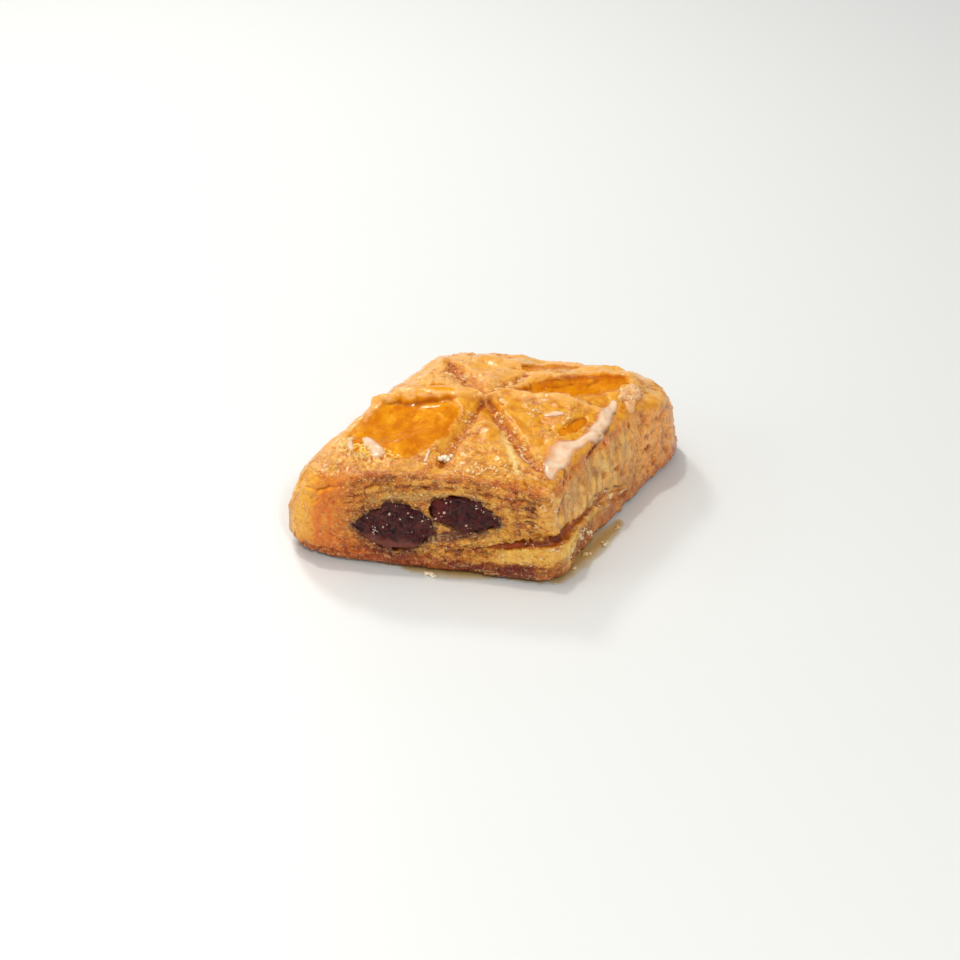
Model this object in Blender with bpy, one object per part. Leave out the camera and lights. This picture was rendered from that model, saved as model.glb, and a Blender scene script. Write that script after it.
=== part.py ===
"""A makroud: a lozenge of semolina pastry, cut on the slant from a flattened log, with date paste running
through it from cut face to cut face.

Units are metres, +Z is up, and the two cut faces look along -Y and +Y. The log ran along SIDE_SLANT from Y,
so the side walls and the date filling follow that direction. The origin is under the middle of the
lozenge's box, on the surface that it lies on.
"""

import math

import bmesh
import bpy
from mathutils import Vector, noise

MM = 0.001

# The lozenge, measured at its foot, corner to corner before the corners are rounded.
CUT_LENGTH = 55.5 * MM
DEPTH = 54.0 * MM
SIDE_SLANT = math.radians(22.6)
THICKNESS = 18.6 * MM

# How far the walls lean in between the foot and the top.
CUT_LEAN = 3.0 * MM
SIDE_LEAN = 5.0 * MM
LEANS = (CUT_LEAN, SIDE_LEAN, CUT_LEAN, SIDE_LEAN)

# Corner radii of the bottom layer and of the block above it: front left, front right, back right, back left.
LAYER_RADII = (7.5 * MM, 5.2 * MM, 7.0 * MM, 4.5 * MM)
BLOCK_RADII = (6.0 * MM, 1.6 * MM, 6.5 * MM, 3.5 * MM)
STEPS_PER_EDGE = 19
STEPS_PER_CORNER = 7
CORNER_SPAN = 0.1

# The wall's profile at the foot, as height and how far out.
FOOT_PROFILE = ((0.0 * MM, -1.7 * MM), (0.45 * MM, -0.7 * MM), (1.3 * MM, -0.1 * MM))
# The profile at the fold, as height from the fold and how far out, in shares of the fold's depth.
FOLD_PROFILE = ((-1.4 * MM, 0.0), (-0.6 * MM, -0.35), (0.0 * MM, -1.0), (0.45 * MM, -0.4), (1.1 * MM, 0.0))
# The profile from the fold to the top edge, as a share of the way up and how far out.
BLOCK_PROFILE = ((0.35, 0.2 * MM), (0.62, 0.3 * MM), (0.85, 0.1 * MM))
# The profile over the top edge, as height from the edge and how far out at a full roll.
EDGE_PROFILE = ((-0.9 * MM, -0.5 * MM), (-0.25 * MM, -1.3 * MM), (0.1 * MM, -2.6 * MM))

# Places round the walls are counted 0 to 4 from the front left corner: the front, right, back and left
# walls, with a whole number at each corner.
# The fold where the log's bottom layer meets the block above it: its height and how deep it cuts in.
FOLD_KEYS = (
    (0.00, 3.0 * MM, 0.0 * MM),
    (0.55, 3.2 * MM, 0.3 * MM),
    (0.75, 4.9 * MM, 1.1 * MM),
    (0.90, 7.6 * MM, 2.2 * MM),
    (1.00, 9.4 * MM, 3.0 * MM),
    (1.12, 8.0 * MM, 2.2 * MM),
    (1.35, 6.2 * MM, 0.8 * MM),
    (1.70, 5.0 * MM, 0.6 * MM),
    (2.00, 4.0 * MM, 0.9 * MM),
    (2.50, 3.6 * MM, 0.4 * MM),
    (3.00, 3.4 * MM, 0.6 * MM),
    (3.50, 3.6 * MM, 0.6 * MM),
    (4.00, 3.0 * MM, 0.0 * MM),
)
# How far the bottom layer stands out past the block.
TONGUE_KEYS = (
    (0.0, 0.0 * MM),
    (0.7, 0.2 * MM),
    (0.93, 0.9 * MM),
    (1.03, 1.4 * MM),
    (1.25, 0.1 * MM),
    (2.0, 0.1 * MM),
    (3.0, 0.2 * MM),
    (3.6, 0.1 * MM),
    (4.0, 0.0 * MM),
)
# How far the walls stand out from their straight lean: at the foot, at half height and at the top.
SWELL_KEYS = (
    (0.00, -2.6 * MM, 0.3 * MM, -0.3 * MM),
    (0.18, -0.5 * MM, 0.0 * MM, 0.0 * MM),
    (0.50, 0.0 * MM, 0.0 * MM, 0.0 * MM),
    (0.95, 0.0 * MM, 0.2 * MM, 0.5 * MM),
    (1.05, 0.0 * MM, 2.4 * MM, 2.8 * MM),
    (1.30, 0.0 * MM, 1.0 * MM, 1.4 * MM),
    (1.75, 0.0 * MM, 1.0 * MM, 1.6 * MM),
    (1.95, 0.0 * MM, 2.4 * MM, 4.0 * MM),
    (2.05, 0.0 * MM, 1.2 * MM, 1.6 * MM),
    (2.25, 0.0 * MM, 0.4 * MM, 0.4 * MM),
    (3.00, 0.0 * MM, 0.2 * MM, 0.0 * MM),
    (3.50, -0.3 * MM, 0.8 * MM, -0.2 * MM),
    (4.00, -2.6 * MM, 0.3 * MM, -0.3 * MM),
)
# How far the top's edge lies below full thickness: least over the filling, most at the corners.
DROP_KEYS = (
    (0.0, 1.6 * MM),
    (0.3, 0.2 * MM),
    (0.7, 0.2 * MM),
    (1.0, 1.2 * MM),
    (1.4, 0.3 * MM),
    (1.75, 0.8 * MM),
    (2.0, 3.2 * MM),
    (2.3, 1.5 * MM),
    (2.7, 0.3 * MM),
    (3.0, 1.4 * MM),
    (3.5, 0.3 * MM),
    (4.0, 1.6 * MM),
)
# How softly the top's edge rolls over, as a share of a full roll.
ROLL_KEYS = ((0.0, 1.1), (0.2, 0.5), (0.8, 0.35), (1.0, 0.35), (1.5, 0.7), (2.0, 1.0), (3.0, 0.7), (4.0, 1.1))

# The score in the top: furrows (and, where the depth is below zero, ridges) that spread from one point,
# each with its heading, length, depth and the sideways bend that it has picked up at its far end.
SCORE_CENTRE = Vector((-1.4 * MM, 4.6 * MM))
CREASES = (
    (math.radians(126), 15.0 * MM, 1.2 * MM, 0.0),
    (math.radians(57), 12.0 * MM, 0.7 * MM, 0.0),
    (math.radians(18), 21.0 * MM, -0.6 * MM, -7.0 * MM),
    (math.radians(-60), 26.0 * MM, 1.5 * MM, 0.6 * MM),
    (math.radians(-101), 24.0 * MM, 1.2 * MM, 0.0),
    (math.radians(180), 21.0 * MM, -0.7 * MM, 2.2 * MM),
)
CREASE_WIDTH = 1.5 * MM
CREASE_START = 0.8 * MM
DOME_RISE = 1.1 * MM
DOME_REACH = 14.0 * MM

# Shallow hollows in the top, where syrup stands: centre, half length, half width, heading and depth.
HOLLOWS = (
    (Vector((-16.0 * MM, -4.5 * MM)), 9.5 * MM, 6.0 * MM, math.radians(60), 0.8 * MM),
    (Vector((14.5 * MM, 11.8 * MM)), 7.5 * MM, 3.2 * MM, math.radians(25), 0.9 * MM),
    (Vector((9.5 * MM, 19.3 * MM)), 5.0 * MM, 1.8 * MM, math.radians(20), 0.6 * MM),
)

LUMP_HEIGHT = 0.45 * MM
LUMP_SIZE = 7.0 * MM
LUMP_FREE_FOOT = 3.0 * MM
TOP_SHARES = (0.95, 0.88, 0.8, 0.72, 0.63, 0.54, 0.45, 0.36, 0.27, 0.18, 0.1, 0.04)
TOP_BLEND = 0.14

# The two ropes of date paste, as they show in the front face: the middle of each and its half width and
# half height, how far its left and right ends are drawn to a point, and its tilt.
DATE_ROPES = {
    "date_filling_left": (-13.5 * MM, 8.3 * MM, 6.7 * MM, 4.2 * MM, 0.75, 0.10, math.radians(3)),
    "date_filling_right": (-0.5 * MM, 11.7 * MM, 6.3 * MM, 2.7 * MM, 0.15, 0.85, math.radians(-9)),
}
ROPE_SEGMENTS = 26
ROPE_STATIONS = 12
POINT_SHARPNESS = 2.2
# Away from the front face each rope grows thicker and thinner, and wanders up and down, in slow waves.
ROPE_SWELL = 0.06
ROPE_SWELL_WAVE = 9.0
ROPE_WANDER = 0.5 * MM
ROPE_WANDER_WAVE = 6.5
ROPE_STEADY_SHARE = 0.3
ROPE_SINK = 0.35 * MM
FIT_GAP = 0.35 * MM
CUTTER_OVERRUN = 6.0 * MM


def smooth(share):
    """A share from 0 to 1, eased at both ends."""
    share = min(1.0, max(0.0, share))
    return share * share * (3 - 2 * share)


def keyed(keys, place):
    """The values after the first of each key, eased between the two keys round a place."""
    for before, after in zip(keys, keys[1:]):
        if place <= after[0]:
            share = smooth((place - before[0]) / (after[0] - before[0]))
            return [a + (b - a) * share for a, b in zip(before[1:], after[1:])]
    return list(keys[-1][1:])


def wall_lines(insets):
    """The lozenge's four walls in plan as (point, inward normal), each moved in by its inset."""
    along_side = Vector((math.sin(SIDE_SLANT), math.cos(SIDE_SLANT)))
    right_of_side = Vector((along_side.y, -along_side.x))
    shift = Vector((CUT_LENGTH / 2, 0))
    walls = (
        (Vector((0, -DEPTH / 2)), Vector((0, 1))),
        (shift, -right_of_side),
        (Vector((0, DEPTH / 2)), Vector((0, -1))),
        (-shift, right_of_side),
    )
    return [(point + normal * inset, normal) for (point, normal), inset in zip(walls, insets)]


def meeting_point(first, second):
    """Where two lines, each a point and a normal, meet."""
    (p, n), (q, m) = first, second
    turn = n.x * m.y - n.y * m.x
    a, b = p.dot(n), q.dot(m)
    return Vector(((a * m.y - b * n.y) / turn, (b * n.x - a * m.x) / turn))


def rounded_outline(insets, radii):
    """The lozenge's outline, anticlockwise from the front left corner, as (point, outward normal, place).

    Every outline has the same count of points, so that one can be skinned to the next.
    """
    walls = wall_lines(insets)
    arcs = []
    for corner, radius in enumerate(radii):
        meeting_walls = walls[corner - 1], walls[corner]
        middle = meeting_point(*((point + inward * radius, inward) for point, inward in meeting_walls))
        arcs.append((middle, -meeting_walls[0][1], -meeting_walls[1][1], radius))
    outline = []
    for corner, (middle, start, end, radius) in enumerate(arcs):
        for step in range(STEPS_PER_CORNER + 1):
            share = step / STEPS_PER_CORNER
            normal = start.lerp(end, share).normalized()
            place = corner + (share - 0.5) * CORNER_SPAN
            outline.append((middle + normal * radius, normal, place % 4))
        next_middle, next_start, _, next_radius = arcs[(corner + 1) % 4]
        first = middle + end * radius
        last = next_middle + next_start * next_radius
        for step in range(1, STEPS_PER_EDGE):
            share = step / STEPS_PER_EDGE
            place = corner + 0.5 + (share - 0.5) * (1 - CORNER_SPAN)
            outline.append((first.lerp(last, share), end, place))
    return outline


def lumps(point):
    """Soft hills and dips of hand-shaped dough, about -1 to 1."""
    place = point / LUMP_SIZE
    return noise.noise(place) + 0.5 * noise.noise(place * 2.3 + Vector((7, 3, 5)))


def wall_ring(radii, height_at, out_at):
    """One ring round the walls, at a height and a distance out that both depend on the place."""
    foot_outline = rounded_outline((0, 0, 0, 0), radii)
    top_outline = rounded_outline(LEANS, radii)
    ring = []
    for (foot, normal, place), (top, _, _) in zip(foot_outline, top_outline):
        height = height_at(place)
        flat = foot.lerp(top, height / THICKNESS)
        out = out_at(place) + swell_at(place, height)
        out += LUMP_HEIGHT * lumps(Vector((*flat, height))) * smooth(height / LUMP_FREE_FOOT)
        ring.append(Vector((*(flat + normal * out), height)))
    return ring


def wall_rings():
    """The rings from the flat foot up to the rounded edge of the top."""

    def fold_height(place):
        return keyed(FOLD_KEYS, place)[0]

    def fold_depth(place):
        return keyed(FOLD_KEYS, place)[1]

    def tongue(place):
        return keyed(TONGUE_KEYS, place)[0]

    def edge_height(place):
        return THICKNESS - keyed(DROP_KEYS, place)[0]

    def block_height(place, share):
        low = fold_height(place) + FOLD_PROFILE[-1][0]
        high = edge_height(place) + EDGE_PROFILE[0][0]
        return low + (high - low) * share

    rings = []
    for height, out in FOOT_PROFILE:
        rings.append(wall_ring(LAYER_RADII, lambda place: height, lambda place: out + tongue(place)))
    for rise, share in FOLD_PROFILE:
        layer = rise < 0
        rings.append(
            wall_ring(
                LAYER_RADII if layer else BLOCK_RADII,
                lambda place: fold_height(place) + rise,
                lambda place: fold_depth(place) * share + (tongue(place) if layer else 0.0),
            )
        )
    for share, out in BLOCK_PROFILE:
        rings.append(wall_ring(BLOCK_RADII, lambda place: block_height(place, share), lambda place: out))
    for rise, out in EDGE_PROFILE:
        rings.append(
            wall_ring(
                BLOCK_RADII,
                lambda place: edge_height(place) + rise,
                lambda place: out * keyed(ROLL_KEYS, place)[0],
            )
        )
    return rings


def swell_at(place, height):
    """How far a wall stands out from its straight lean, by a smooth curve up its height."""
    foot, middle, top = keyed(SWELL_KEYS, place)
    share = min(1.0, height / THICKNESS)
    low = foot * (1 - share) * (1 - 2 * share)
    high = top * share * (2 * share - 1)
    return low + 4 * middle * share * (1 - share) + high


def crease_depth(point):
    """How far the score sinks the top at a point, or lifts it, where the result is below zero."""
    away = point - SCORE_CENTRE
    furrow = 0.0
    ridge = 0.0
    for heading, length, depth, bend in CREASES:
        along = away.x * math.cos(heading) + away.y * math.sin(heading)
        across = away.y * math.cos(heading) - away.x * math.sin(heading)
        if along < 0:
            continue
        across -= bend * (along / length) ** 2
        fade = smooth((length - along) / (0.35 * length)) * smooth(along / CREASE_START)
        sink = depth * fade * math.exp(-((across / CREASE_WIDTH) ** 2))
        furrow = max(furrow, sink)
        ridge = min(ridge, sink)
    return furrow + ridge


def hollow_depth(point):
    """How far the syrup hollows sink the top at a point."""
    total = 0.0
    for centre, half_length, half_width, heading, depth in HOLLOWS:
        away = point - centre
        along = (away.x * math.cos(heading) + away.y * math.sin(heading)) / half_length
        across = (away.y * math.cos(heading) - away.x * math.sin(heading)) / half_width
        total += depth * smooth(1.25 - along * along - across * across)
    return total


def top_height(flat):
    """The height of the top inside its edge: domed, scored, hollowed and lumpy."""
    dome = DOME_RISE * math.exp(-(((flat - SCORE_CENTRE).length / DOME_REACH) ** 2))
    uneven = LUMP_HEIGHT * lumps(Vector((flat.x, flat.y, THICKNESS)))
    return THICKNESS + dome + uneven - crease_depth(flat) - hollow_depth(flat)


def top_rings(edge_ring):
    """Rings that shrink from the edge of the top to the point where the creases meet."""
    rings = []
    for share in TOP_SHARES:
        ring = []
        for corner in edge_ring:
            flat = SCORE_CENTRE.lerp(corner.xy, share)
            height = corner.z + (top_height(flat) - corner.z) * smooth((1 - share) / TOP_BLEND)
            ring.append(Vector((flat.x, flat.y, height)))
        rings.append(ring)
    return rings


def skin(mesh_data, rings):
    """Quads between one ring and the next, and a face across the first ring."""
    loops = [[mesh_data.verts.new(point) for point in ring] for ring in rings]
    for below, above in zip(loops, loops[1:]):
        for i in range(len(below)):
            mesh_data.faces.new((below[i - 1], below[i], above[i], above[i - 1]))
    mesh_data.faces.new(reversed(loops[0]))
    return loops


def finished_object(mesh_data, name, colour, roughness):
    """A smooth-shaded object of its own material, from a mesh whose normals are put right."""
    bmesh.ops.recalc_face_normals(mesh_data, faces=mesh_data.faces)
    mesh = bpy.data.meshes.new(name)
    mesh_data.to_mesh(mesh)
    mesh_data.free()
    mesh.shade_smooth()
    mesh.set_sharp_from_angle(angle=math.radians(50))
    piece = bpy.data.objects.new(name, mesh)
    bpy.context.scene.collection.objects.link(piece)
    material = bpy.data.materials.new(name)
    material.use_nodes = True
    shader = material.node_tree.nodes["Principled BSDF"]
    shader.inputs["Base Color"].default_value = (*colour, 1)
    shader.inputs["Roughness"].default_value = roughness
    shader.inputs["Metallic"].default_value = 0.0
    mesh.materials.append(material)
    return piece


def make_dough():
    """The pastry, with no filling channel yet."""
    mesh_data = bmesh.new()
    walls = wall_rings()
    loops = skin(mesh_data, walls + top_rings(walls[-1]))
    summit = mesh_data.verts.new((*SCORE_CENTRE, top_height(SCORE_CENTRE)))
    last = loops[-1]
    for i in range(len(last)):
        mesh_data.faces.new((last[i - 1], last[i], summit))
    return finished_object(mesh_data, "dough", (0.70, 0.36, 0.09), 0.35)


def rope_section(rope, grow):
    """The points of a rope's almond section, in X and Z on the front face's plane."""
    middle_x, middle_z, half_width, half_height, left_point, right_point, tilt = rope
    section = []
    for step in range(ROPE_SEGMENTS):
        angle = 2 * math.pi * step / ROPE_SEGMENTS
        side = math.cos(angle)
        pointed = right_point if side > 0 else left_point
        x = (half_width + grow) * side
        z = (half_height + grow) * math.sin(angle) * (1 - pointed * abs(side) ** POINT_SHARPNESS)
        turned_x = x * math.cos(tilt) - z * math.sin(tilt)
        turned_z = x * math.sin(tilt) + z * math.cos(tilt)
        section.append((middle_x + turned_x, middle_z + turned_z, middle_x, middle_z))
    return section


def cut_face_y(side, height):
    """Y of a cut face at a height. Side is -1 at the front and +1 at the back."""
    return side * (DEPTH / 2 - CUT_LEAN * height / THICKNESS)


def make_rope(name, rope, grow, overrun):
    """A rope of date paste along the slant of the log, from cut face to cut face and past them by overrun."""
    mesh_data = bmesh.new()
    section = rope_section(rope, grow)
    rings = []
    for station in range(ROPE_STATIONS + 1):
        share = station / ROPE_STATIONS
        depth_share = 0.5 + (share - 0.5) * (1 + 2 * overrun / DEPTH)
        free = smooth(depth_share / ROPE_STEADY_SHARE)
        swell = 1 + ROPE_SWELL * math.sin(depth_share * ROPE_SWELL_WAVE) * free
        wander = ROPE_WANDER * math.sin(depth_share * ROPE_WANDER_WAVE) * free
        ring = []
        for x, z, middle_x, middle_z in section:
            height = middle_z + (z - middle_z) * swell + wander
            start = cut_face_y(-1, height) - overrun
            end = cut_face_y(1, height) + overrun
            y = start + (end - start) * share
            slanted = middle_x + (x - middle_x) * swell + (y + DEPTH / 2) * math.tan(SIDE_SLANT)
            ring.append(Vector((slanted, y, height)))
        rings.append(ring)
    loops = skin(mesh_data, rings)
    mesh_data.faces.new(loops[-1])
    return finished_object(mesh_data, name, (0.10, 0.03, 0.02), 0.3)


def cut_channel(dough, cutter):
    """Cuts a rope's channel through the dough, and keeps the cutter as a guide."""
    cutter.hide_render = True
    cutter.display_type = "WIRE"
    channel = dough.modifiers.new(cutter.name, "BOOLEAN")
    channel.operation = "DIFFERENCE"
    channel.solver = "EXACT"
    channel.object = cutter


def centre_on_foot(pieces):
    """Moves every piece so that the dough's box is centred over the origin and its foot is at zero."""
    corners = [vertex.co for vertex in pieces[0].data.vertices]
    lowest = Vector([min(corner[axis] for corner in corners) for axis in range(3)])
    highest = Vector([max(corner[axis] for corner in corners) for axis in range(3)])
    middle = (lowest + highest) / 2
    for piece in pieces:
        piece.location = (-middle.x, -middle.y, -lowest.z)


def main():
    for old in list(bpy.data.objects):
        bpy.data.objects.remove(old)
    dough = make_dough()
    pieces = [dough]
    for name, rope in DATE_ROPES.items():
        pieces.append(make_rope(name, rope, 0.0, -ROPE_SINK))
        cutter = make_rope("channel_" + name, rope, FIT_GAP, CUTTER_OVERRUN)
        pieces.append(cutter)
        cut_channel(dough, cutter)
    centre_on_foot(pieces)


main()
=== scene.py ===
import itertools
import math

import bpy
import numpy as np
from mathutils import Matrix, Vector
from mathutils.kdtree import KDTree


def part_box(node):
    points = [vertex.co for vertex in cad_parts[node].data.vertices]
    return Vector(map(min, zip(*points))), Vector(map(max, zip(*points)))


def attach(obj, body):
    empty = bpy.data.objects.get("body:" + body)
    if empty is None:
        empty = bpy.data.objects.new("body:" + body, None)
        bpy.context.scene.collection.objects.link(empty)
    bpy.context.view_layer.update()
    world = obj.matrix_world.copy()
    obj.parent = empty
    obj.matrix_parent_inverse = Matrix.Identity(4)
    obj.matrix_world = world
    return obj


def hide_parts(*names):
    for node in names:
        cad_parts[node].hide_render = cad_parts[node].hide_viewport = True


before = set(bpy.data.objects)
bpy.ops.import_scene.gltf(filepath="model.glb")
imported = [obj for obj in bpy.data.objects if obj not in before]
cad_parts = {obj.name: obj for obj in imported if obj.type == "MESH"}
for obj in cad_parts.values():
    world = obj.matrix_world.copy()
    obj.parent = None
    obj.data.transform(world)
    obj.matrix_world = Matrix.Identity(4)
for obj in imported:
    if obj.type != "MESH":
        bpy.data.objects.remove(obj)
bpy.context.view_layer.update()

scene = bpy.context.scene
mm = 0.001

# The log ran at this slant from Y, so the side walls and the filling follow it
slant = math.radians(22.6)
wallOut = np.array((math.cos(slant), -math.sin(slant), 0.0))
boxLow, boxHigh = (np.array(corner) * 1000 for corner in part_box("dough"))
boxSize = boxHigh - boxLow
cutInset = 2.4  # about how far in from the box the front cut face stands
frontY = boxLow[1] + cutInset
nearCuts = 22  # past this, front and back, a place is near a cut face
endCuts = 22.5  # and past this it lies in one
aloft = 40  # well above the pastry, to look down from
scoreShare = (0.48, 0.584)
scoreAt = boxLow[:2] + boxSize[:2] * scoreShare  # where the score's furrows meet
cornerCut = 4.7  # how far a sharp front left or back right corner would stand out of the box
wallRun = np.array((math.sin(slant), math.cos(slant)))
wallLength = boxSize[1] / math.cos(slant)
cornerAt = np.array((boxHigh[0] + cornerCut - boxSize[1] * math.tan(slant), boxLow[1]))
leftCornerAt = np.array((boxLow[0] - cornerCut, boxLow[1]))
cutWidth = cornerAt[0] - leftCornerAt[0]
creases = {  # the CAD's headings from the middle of the score, and lengths, repeated here
    "nearRight": (-60, 26), "nearLeft": (-101, 24), "left": (180, 21),
    "backLeft": (126, 15), "backRight": (57, 12), "right": (18, 21),
}
hollows = {  # the CAD's too: middle, half sizes and turn
    "left": ((-16, -4.5), (9.5, 6.0), 60),
    "right": ((14.5, 11.8), (7.5, 3.2), 25),
    "back": ((9.5, 19.3), (5.0, 1.8), 20),
}


# Numbers on many points at once, in millimetres

def ramp(value, low, high):
    share = np.clip((value - low) / (high - low), 0, 1)
    return share * share * (3 - 2 * share)


def mixed(first, second, share):
    return first + (second - first) * share


def dyed(first, second, share):  # the same for colours, with a share for each point
    return first + (second - first) * share[:, None]


def scramble(cells, seed):  # three random numbers from 0 to 1 for each whole-number place
    a, b, c = (cells + 57 * seed).T
    mess = (a * 374761393 + b * 668265263 + c * 1442695041) & 0xFFFFFFFF
    mess = ((mess ^ (mess >> 13)) * 1274126177) & 0xFFFFFFFF
    mess = mess ^ (mess >> 16)
    return np.stack((mess & 1023, (mess >> 10) & 1023, (mess >> 20) & 1023), axis=1) / 1023


def hills(places, size, seed=0):  # soft random hills and dips, about -1 to 1
    spot = places / np.asarray(size, float) + 100
    cell = np.floor(spot).astype(np.int64)
    part = spot - cell
    ease = part * part * part * (part * (part * 6 - 15) + 10)
    total = np.zeros(len(spot))
    for corner in itertools.product((0, 1), repeat=3):
        slope = scramble(cell + corner, seed) * 2 - 1
        weight = np.prod(np.where(corner, ease, 1 - ease), axis=1)
        total += weight * np.einsum("ij,ij->i", slope, part - corner)
    return total * 1.7


def pebbles(places, size, seed=0):  # distance to the nearest random point, in sizes
    spot = places / np.asarray(size, float) + 100
    cell = np.floor(spot).astype(np.int64)
    nearest = np.full(len(spot), 9.0)
    for offset in itertools.product((-1, 0, 1), repeat=3):
        gap = np.linalg.norm(spot - (cell + offset) - scramble(cell + offset, seed), axis=1)
        nearest = np.minimum(nearest, gap)
    return nearest


def wavy(places, size, amount, seed):  # the same places, pushed about a little
    return places + amount * np.stack([hills(places, size, seed + k) for k in range(3)], axis=1)


def stroke(places, route):  # 1 along a route whose points end in a half width, 0 at that width, then below 0
    best = np.full(len(places), -9.0)
    for first, last in zip(route, route[1:]):
        start, run = np.array(first[:-1]), np.array(last[:-1]) - np.array(first[:-1])
        share = np.clip((places - start) @ run / (run @ run), 0, 1)
        gap = np.linalg.norm(places - start - share[:, None] * run, axis=1)
        best = np.maximum(best, 1 - gap / mixed(first[-1], last[-1], share))
    return best


def sweep(start, heading, length, widths, bend=0.0):  # a route from start, drifting left by bend at its end
    turn = math.radians(heading)
    ahead, aside = np.array((math.cos(turn), math.sin(turn))), np.array((-math.sin(turn), math.cos(turn)))
    route = []
    for share in np.linspace(0, 1, 7):
        place = np.array(start) + ahead * length * share + aside * bend * share**2
        route.append((*place, np.interp(share, np.linspace(0, 1, len(widths)), widths)))
    return route


def join(first, last, widths, bend=0.0):  # a route between two places
    run = np.array(last) - np.array(first)
    return sweep(first, math.degrees(math.atan2(run[1], run[0])), np.linalg.norm(run), widths, bend)


def oval(centre, reach, heading):  # a route along an oval, as wide as the oval is there
    turn = math.radians(heading)
    ahead = np.array((math.cos(turn), math.sin(turn)))
    shares = np.linspace(-0.8, 0.8, 7)
    return [(*(np.array(centre) + ahead * reach[0] * s), reach[1] * math.sqrt(1 - s * s)) for s in shares]


def filledHollow(name, grow):  # a CAD hollow, filled to a little more than its own size
    centre, reach, heading = hollows[name]
    return oval(centre, np.array(reach) * grow, heading)


def ring(centre, reach, first, last, widths):  # a route along part of an oval, between two angles
    route = []
    for share in np.linspace(0, 1, 9):
        turn = math.radians(mixed(first, last, share))
        place = np.array(centre) + np.array(reach) * (math.cos(turn), math.sin(turn))
        route.append((*place, np.interp(share, np.linspace(0, 1, len(widths)), widths)))
    return route


def fromScore(heading, distance):  # a place on the top, seen from the middle of the score
    turn = math.radians(heading)
    return scoreAt + distance * np.array((math.cos(turn), math.sin(turn)))


def onCrease(name, share):
    heading, length = creases[name]
    return fromScore(heading, length * share)


def between(first, second):  # the heading midway between two creases
    return (creases[first][0] + creases[second][0]) / 2


def onTop(along, back):  # shares of the way from the left wall to the right one, and from front to back
    return leftCornerAt + np.array((along * cutWidth, 0)) + back * wallLength * wallRun


def wallAt(along, up):  # shares of the right wall's length and of the height
    return np.array((along * wallLength, up * boxSize[2]))


def footAt(along, inward):  # a share of the front foot's length, and how far in under the pastry
    return leftCornerAt + (along * cutWidth, inward)


def besideWall(along, outward):  # a share of the right wall's foot, and how far out from it
    return cornerAt + along * wallLength * wallRun + outward * wallOut[:2]


def onWall(places):  # how far along the right wall from its front corner, and how high
    return np.stack(((places[:, :2] - cornerAt) @ wallRun, places[:, 2]), axis=1)


def acrossAt(places):  # how far across, followed along the slant to the front cut face
    return places[:, 0] - math.tan(slant) * (places[:, 1] - frontY)


def ropeAt(node, y):  # the middle of a date rope across and up, and its half sizes, at a place along Y
    low, high = (np.array(corner) * 1000 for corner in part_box(node))
    half = np.array((high[0] - low[0] - math.tan(slant) * (high[1] - low[1]), high[2] - low[2])) / 2
    return low[0] + half[0] + math.tan(slant) * (y - low[1]), (low[2] + high[2]) / 2, half


def lobe(node):  # the same in the front cut face, with the middle as one place
    across, up, half = ropeAt(node, frontY)
    return np.array((across, up)), half


def strokes(places, routes):  # the highest that any of several strokes reaches at each place
    return np.max([stroke(places, route) for route in routes], axis=0)


def rimOf(field):  # a thin line along a stroke's own edge
    return np.exp(-(((field - 0.1) / 0.12) ** 2))


def raised(places, rows):  # round-topped rises along routes, each with its own height
    return np.max([height * ramp(stroke(places, route), 0, 1) for route, height in rows], axis=0)


def flecks(p, depth=1.0):  # small long specks, in patches
    return depth * ramp(hills(p, (1.6, 0.8, 1.2), 48), 0.22, 0.5) * ramp(hills(p, 5, 49), -0.3, 0.3)


# Working on a piece

def pickOnly(piece):
    bpy.ops.object.select_all(action="DESELECT")
    piece.select_set(True)
    bpy.context.view_layer.objects.active = piece


def modify(piece, kind, **settings):
    pickOnly(piece)
    step = piece.modifiers.new(kind, kind)
    for key, value in settings.items():
        setattr(step, key, value)
    bpy.ops.object.modifier_apply(modifier=step.name)


def pointsOf(piece):
    flat = np.empty(len(piece.data.vertices) * 3, np.float32)
    piece.data.vertices.foreach_get("co", flat)
    return flat.reshape(-1, 3).astype(float) * 1000


def movePoints(piece, places):
    piece.data.vertices.foreach_set("co", (places / 1000).astype(np.float32).ravel())
    piece.data.update()


def normalsOf(piece):
    flat = np.empty(len(piece.data.vertices) * 3, np.float32)
    piece.data.vertex_normals.foreach_get("vector", flat)
    return flat.reshape(-1, 3).astype(float)


def neighbourMean(piece, values, rounds=1):
    edges = np.empty(len(piece.data.edges) * 2, np.int32)
    piece.data.edges.foreach_get("vertices", edges)
    a, b = edges.reshape(-1, 2).T
    count = np.bincount(edges, minlength=len(values)).astype(float)
    for _ in range(rounds):
        total = np.zeros_like(values)
        np.add.at(total, a, values[b])
        np.add.at(total, b, values[a])
        values = total / (count[:, None] if values.ndim > 1 else count)
    return values


def paint(piece, name, values):  # what the material reads at each point: a number, a place or a colour
    if values.ndim == 1:
        layer = piece.data.attributes.new(name, "FLOAT", "POINT")
        layer.data.foreach_set("value", values.astype(np.float32))
    elif name.endswith("Place"):
        layer = piece.data.attributes.new(name, "FLOAT_VECTOR", "POINT")
        layer.data.foreach_set("vector", values.astype(np.float32).ravel())
    else:
        layer = piece.data.attributes.new(name, "FLOAT_COLOR", "POINT")
        layer.data.foreach_set("color", np.c_[values, np.ones(len(values))].astype(np.float32).ravel())


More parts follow.
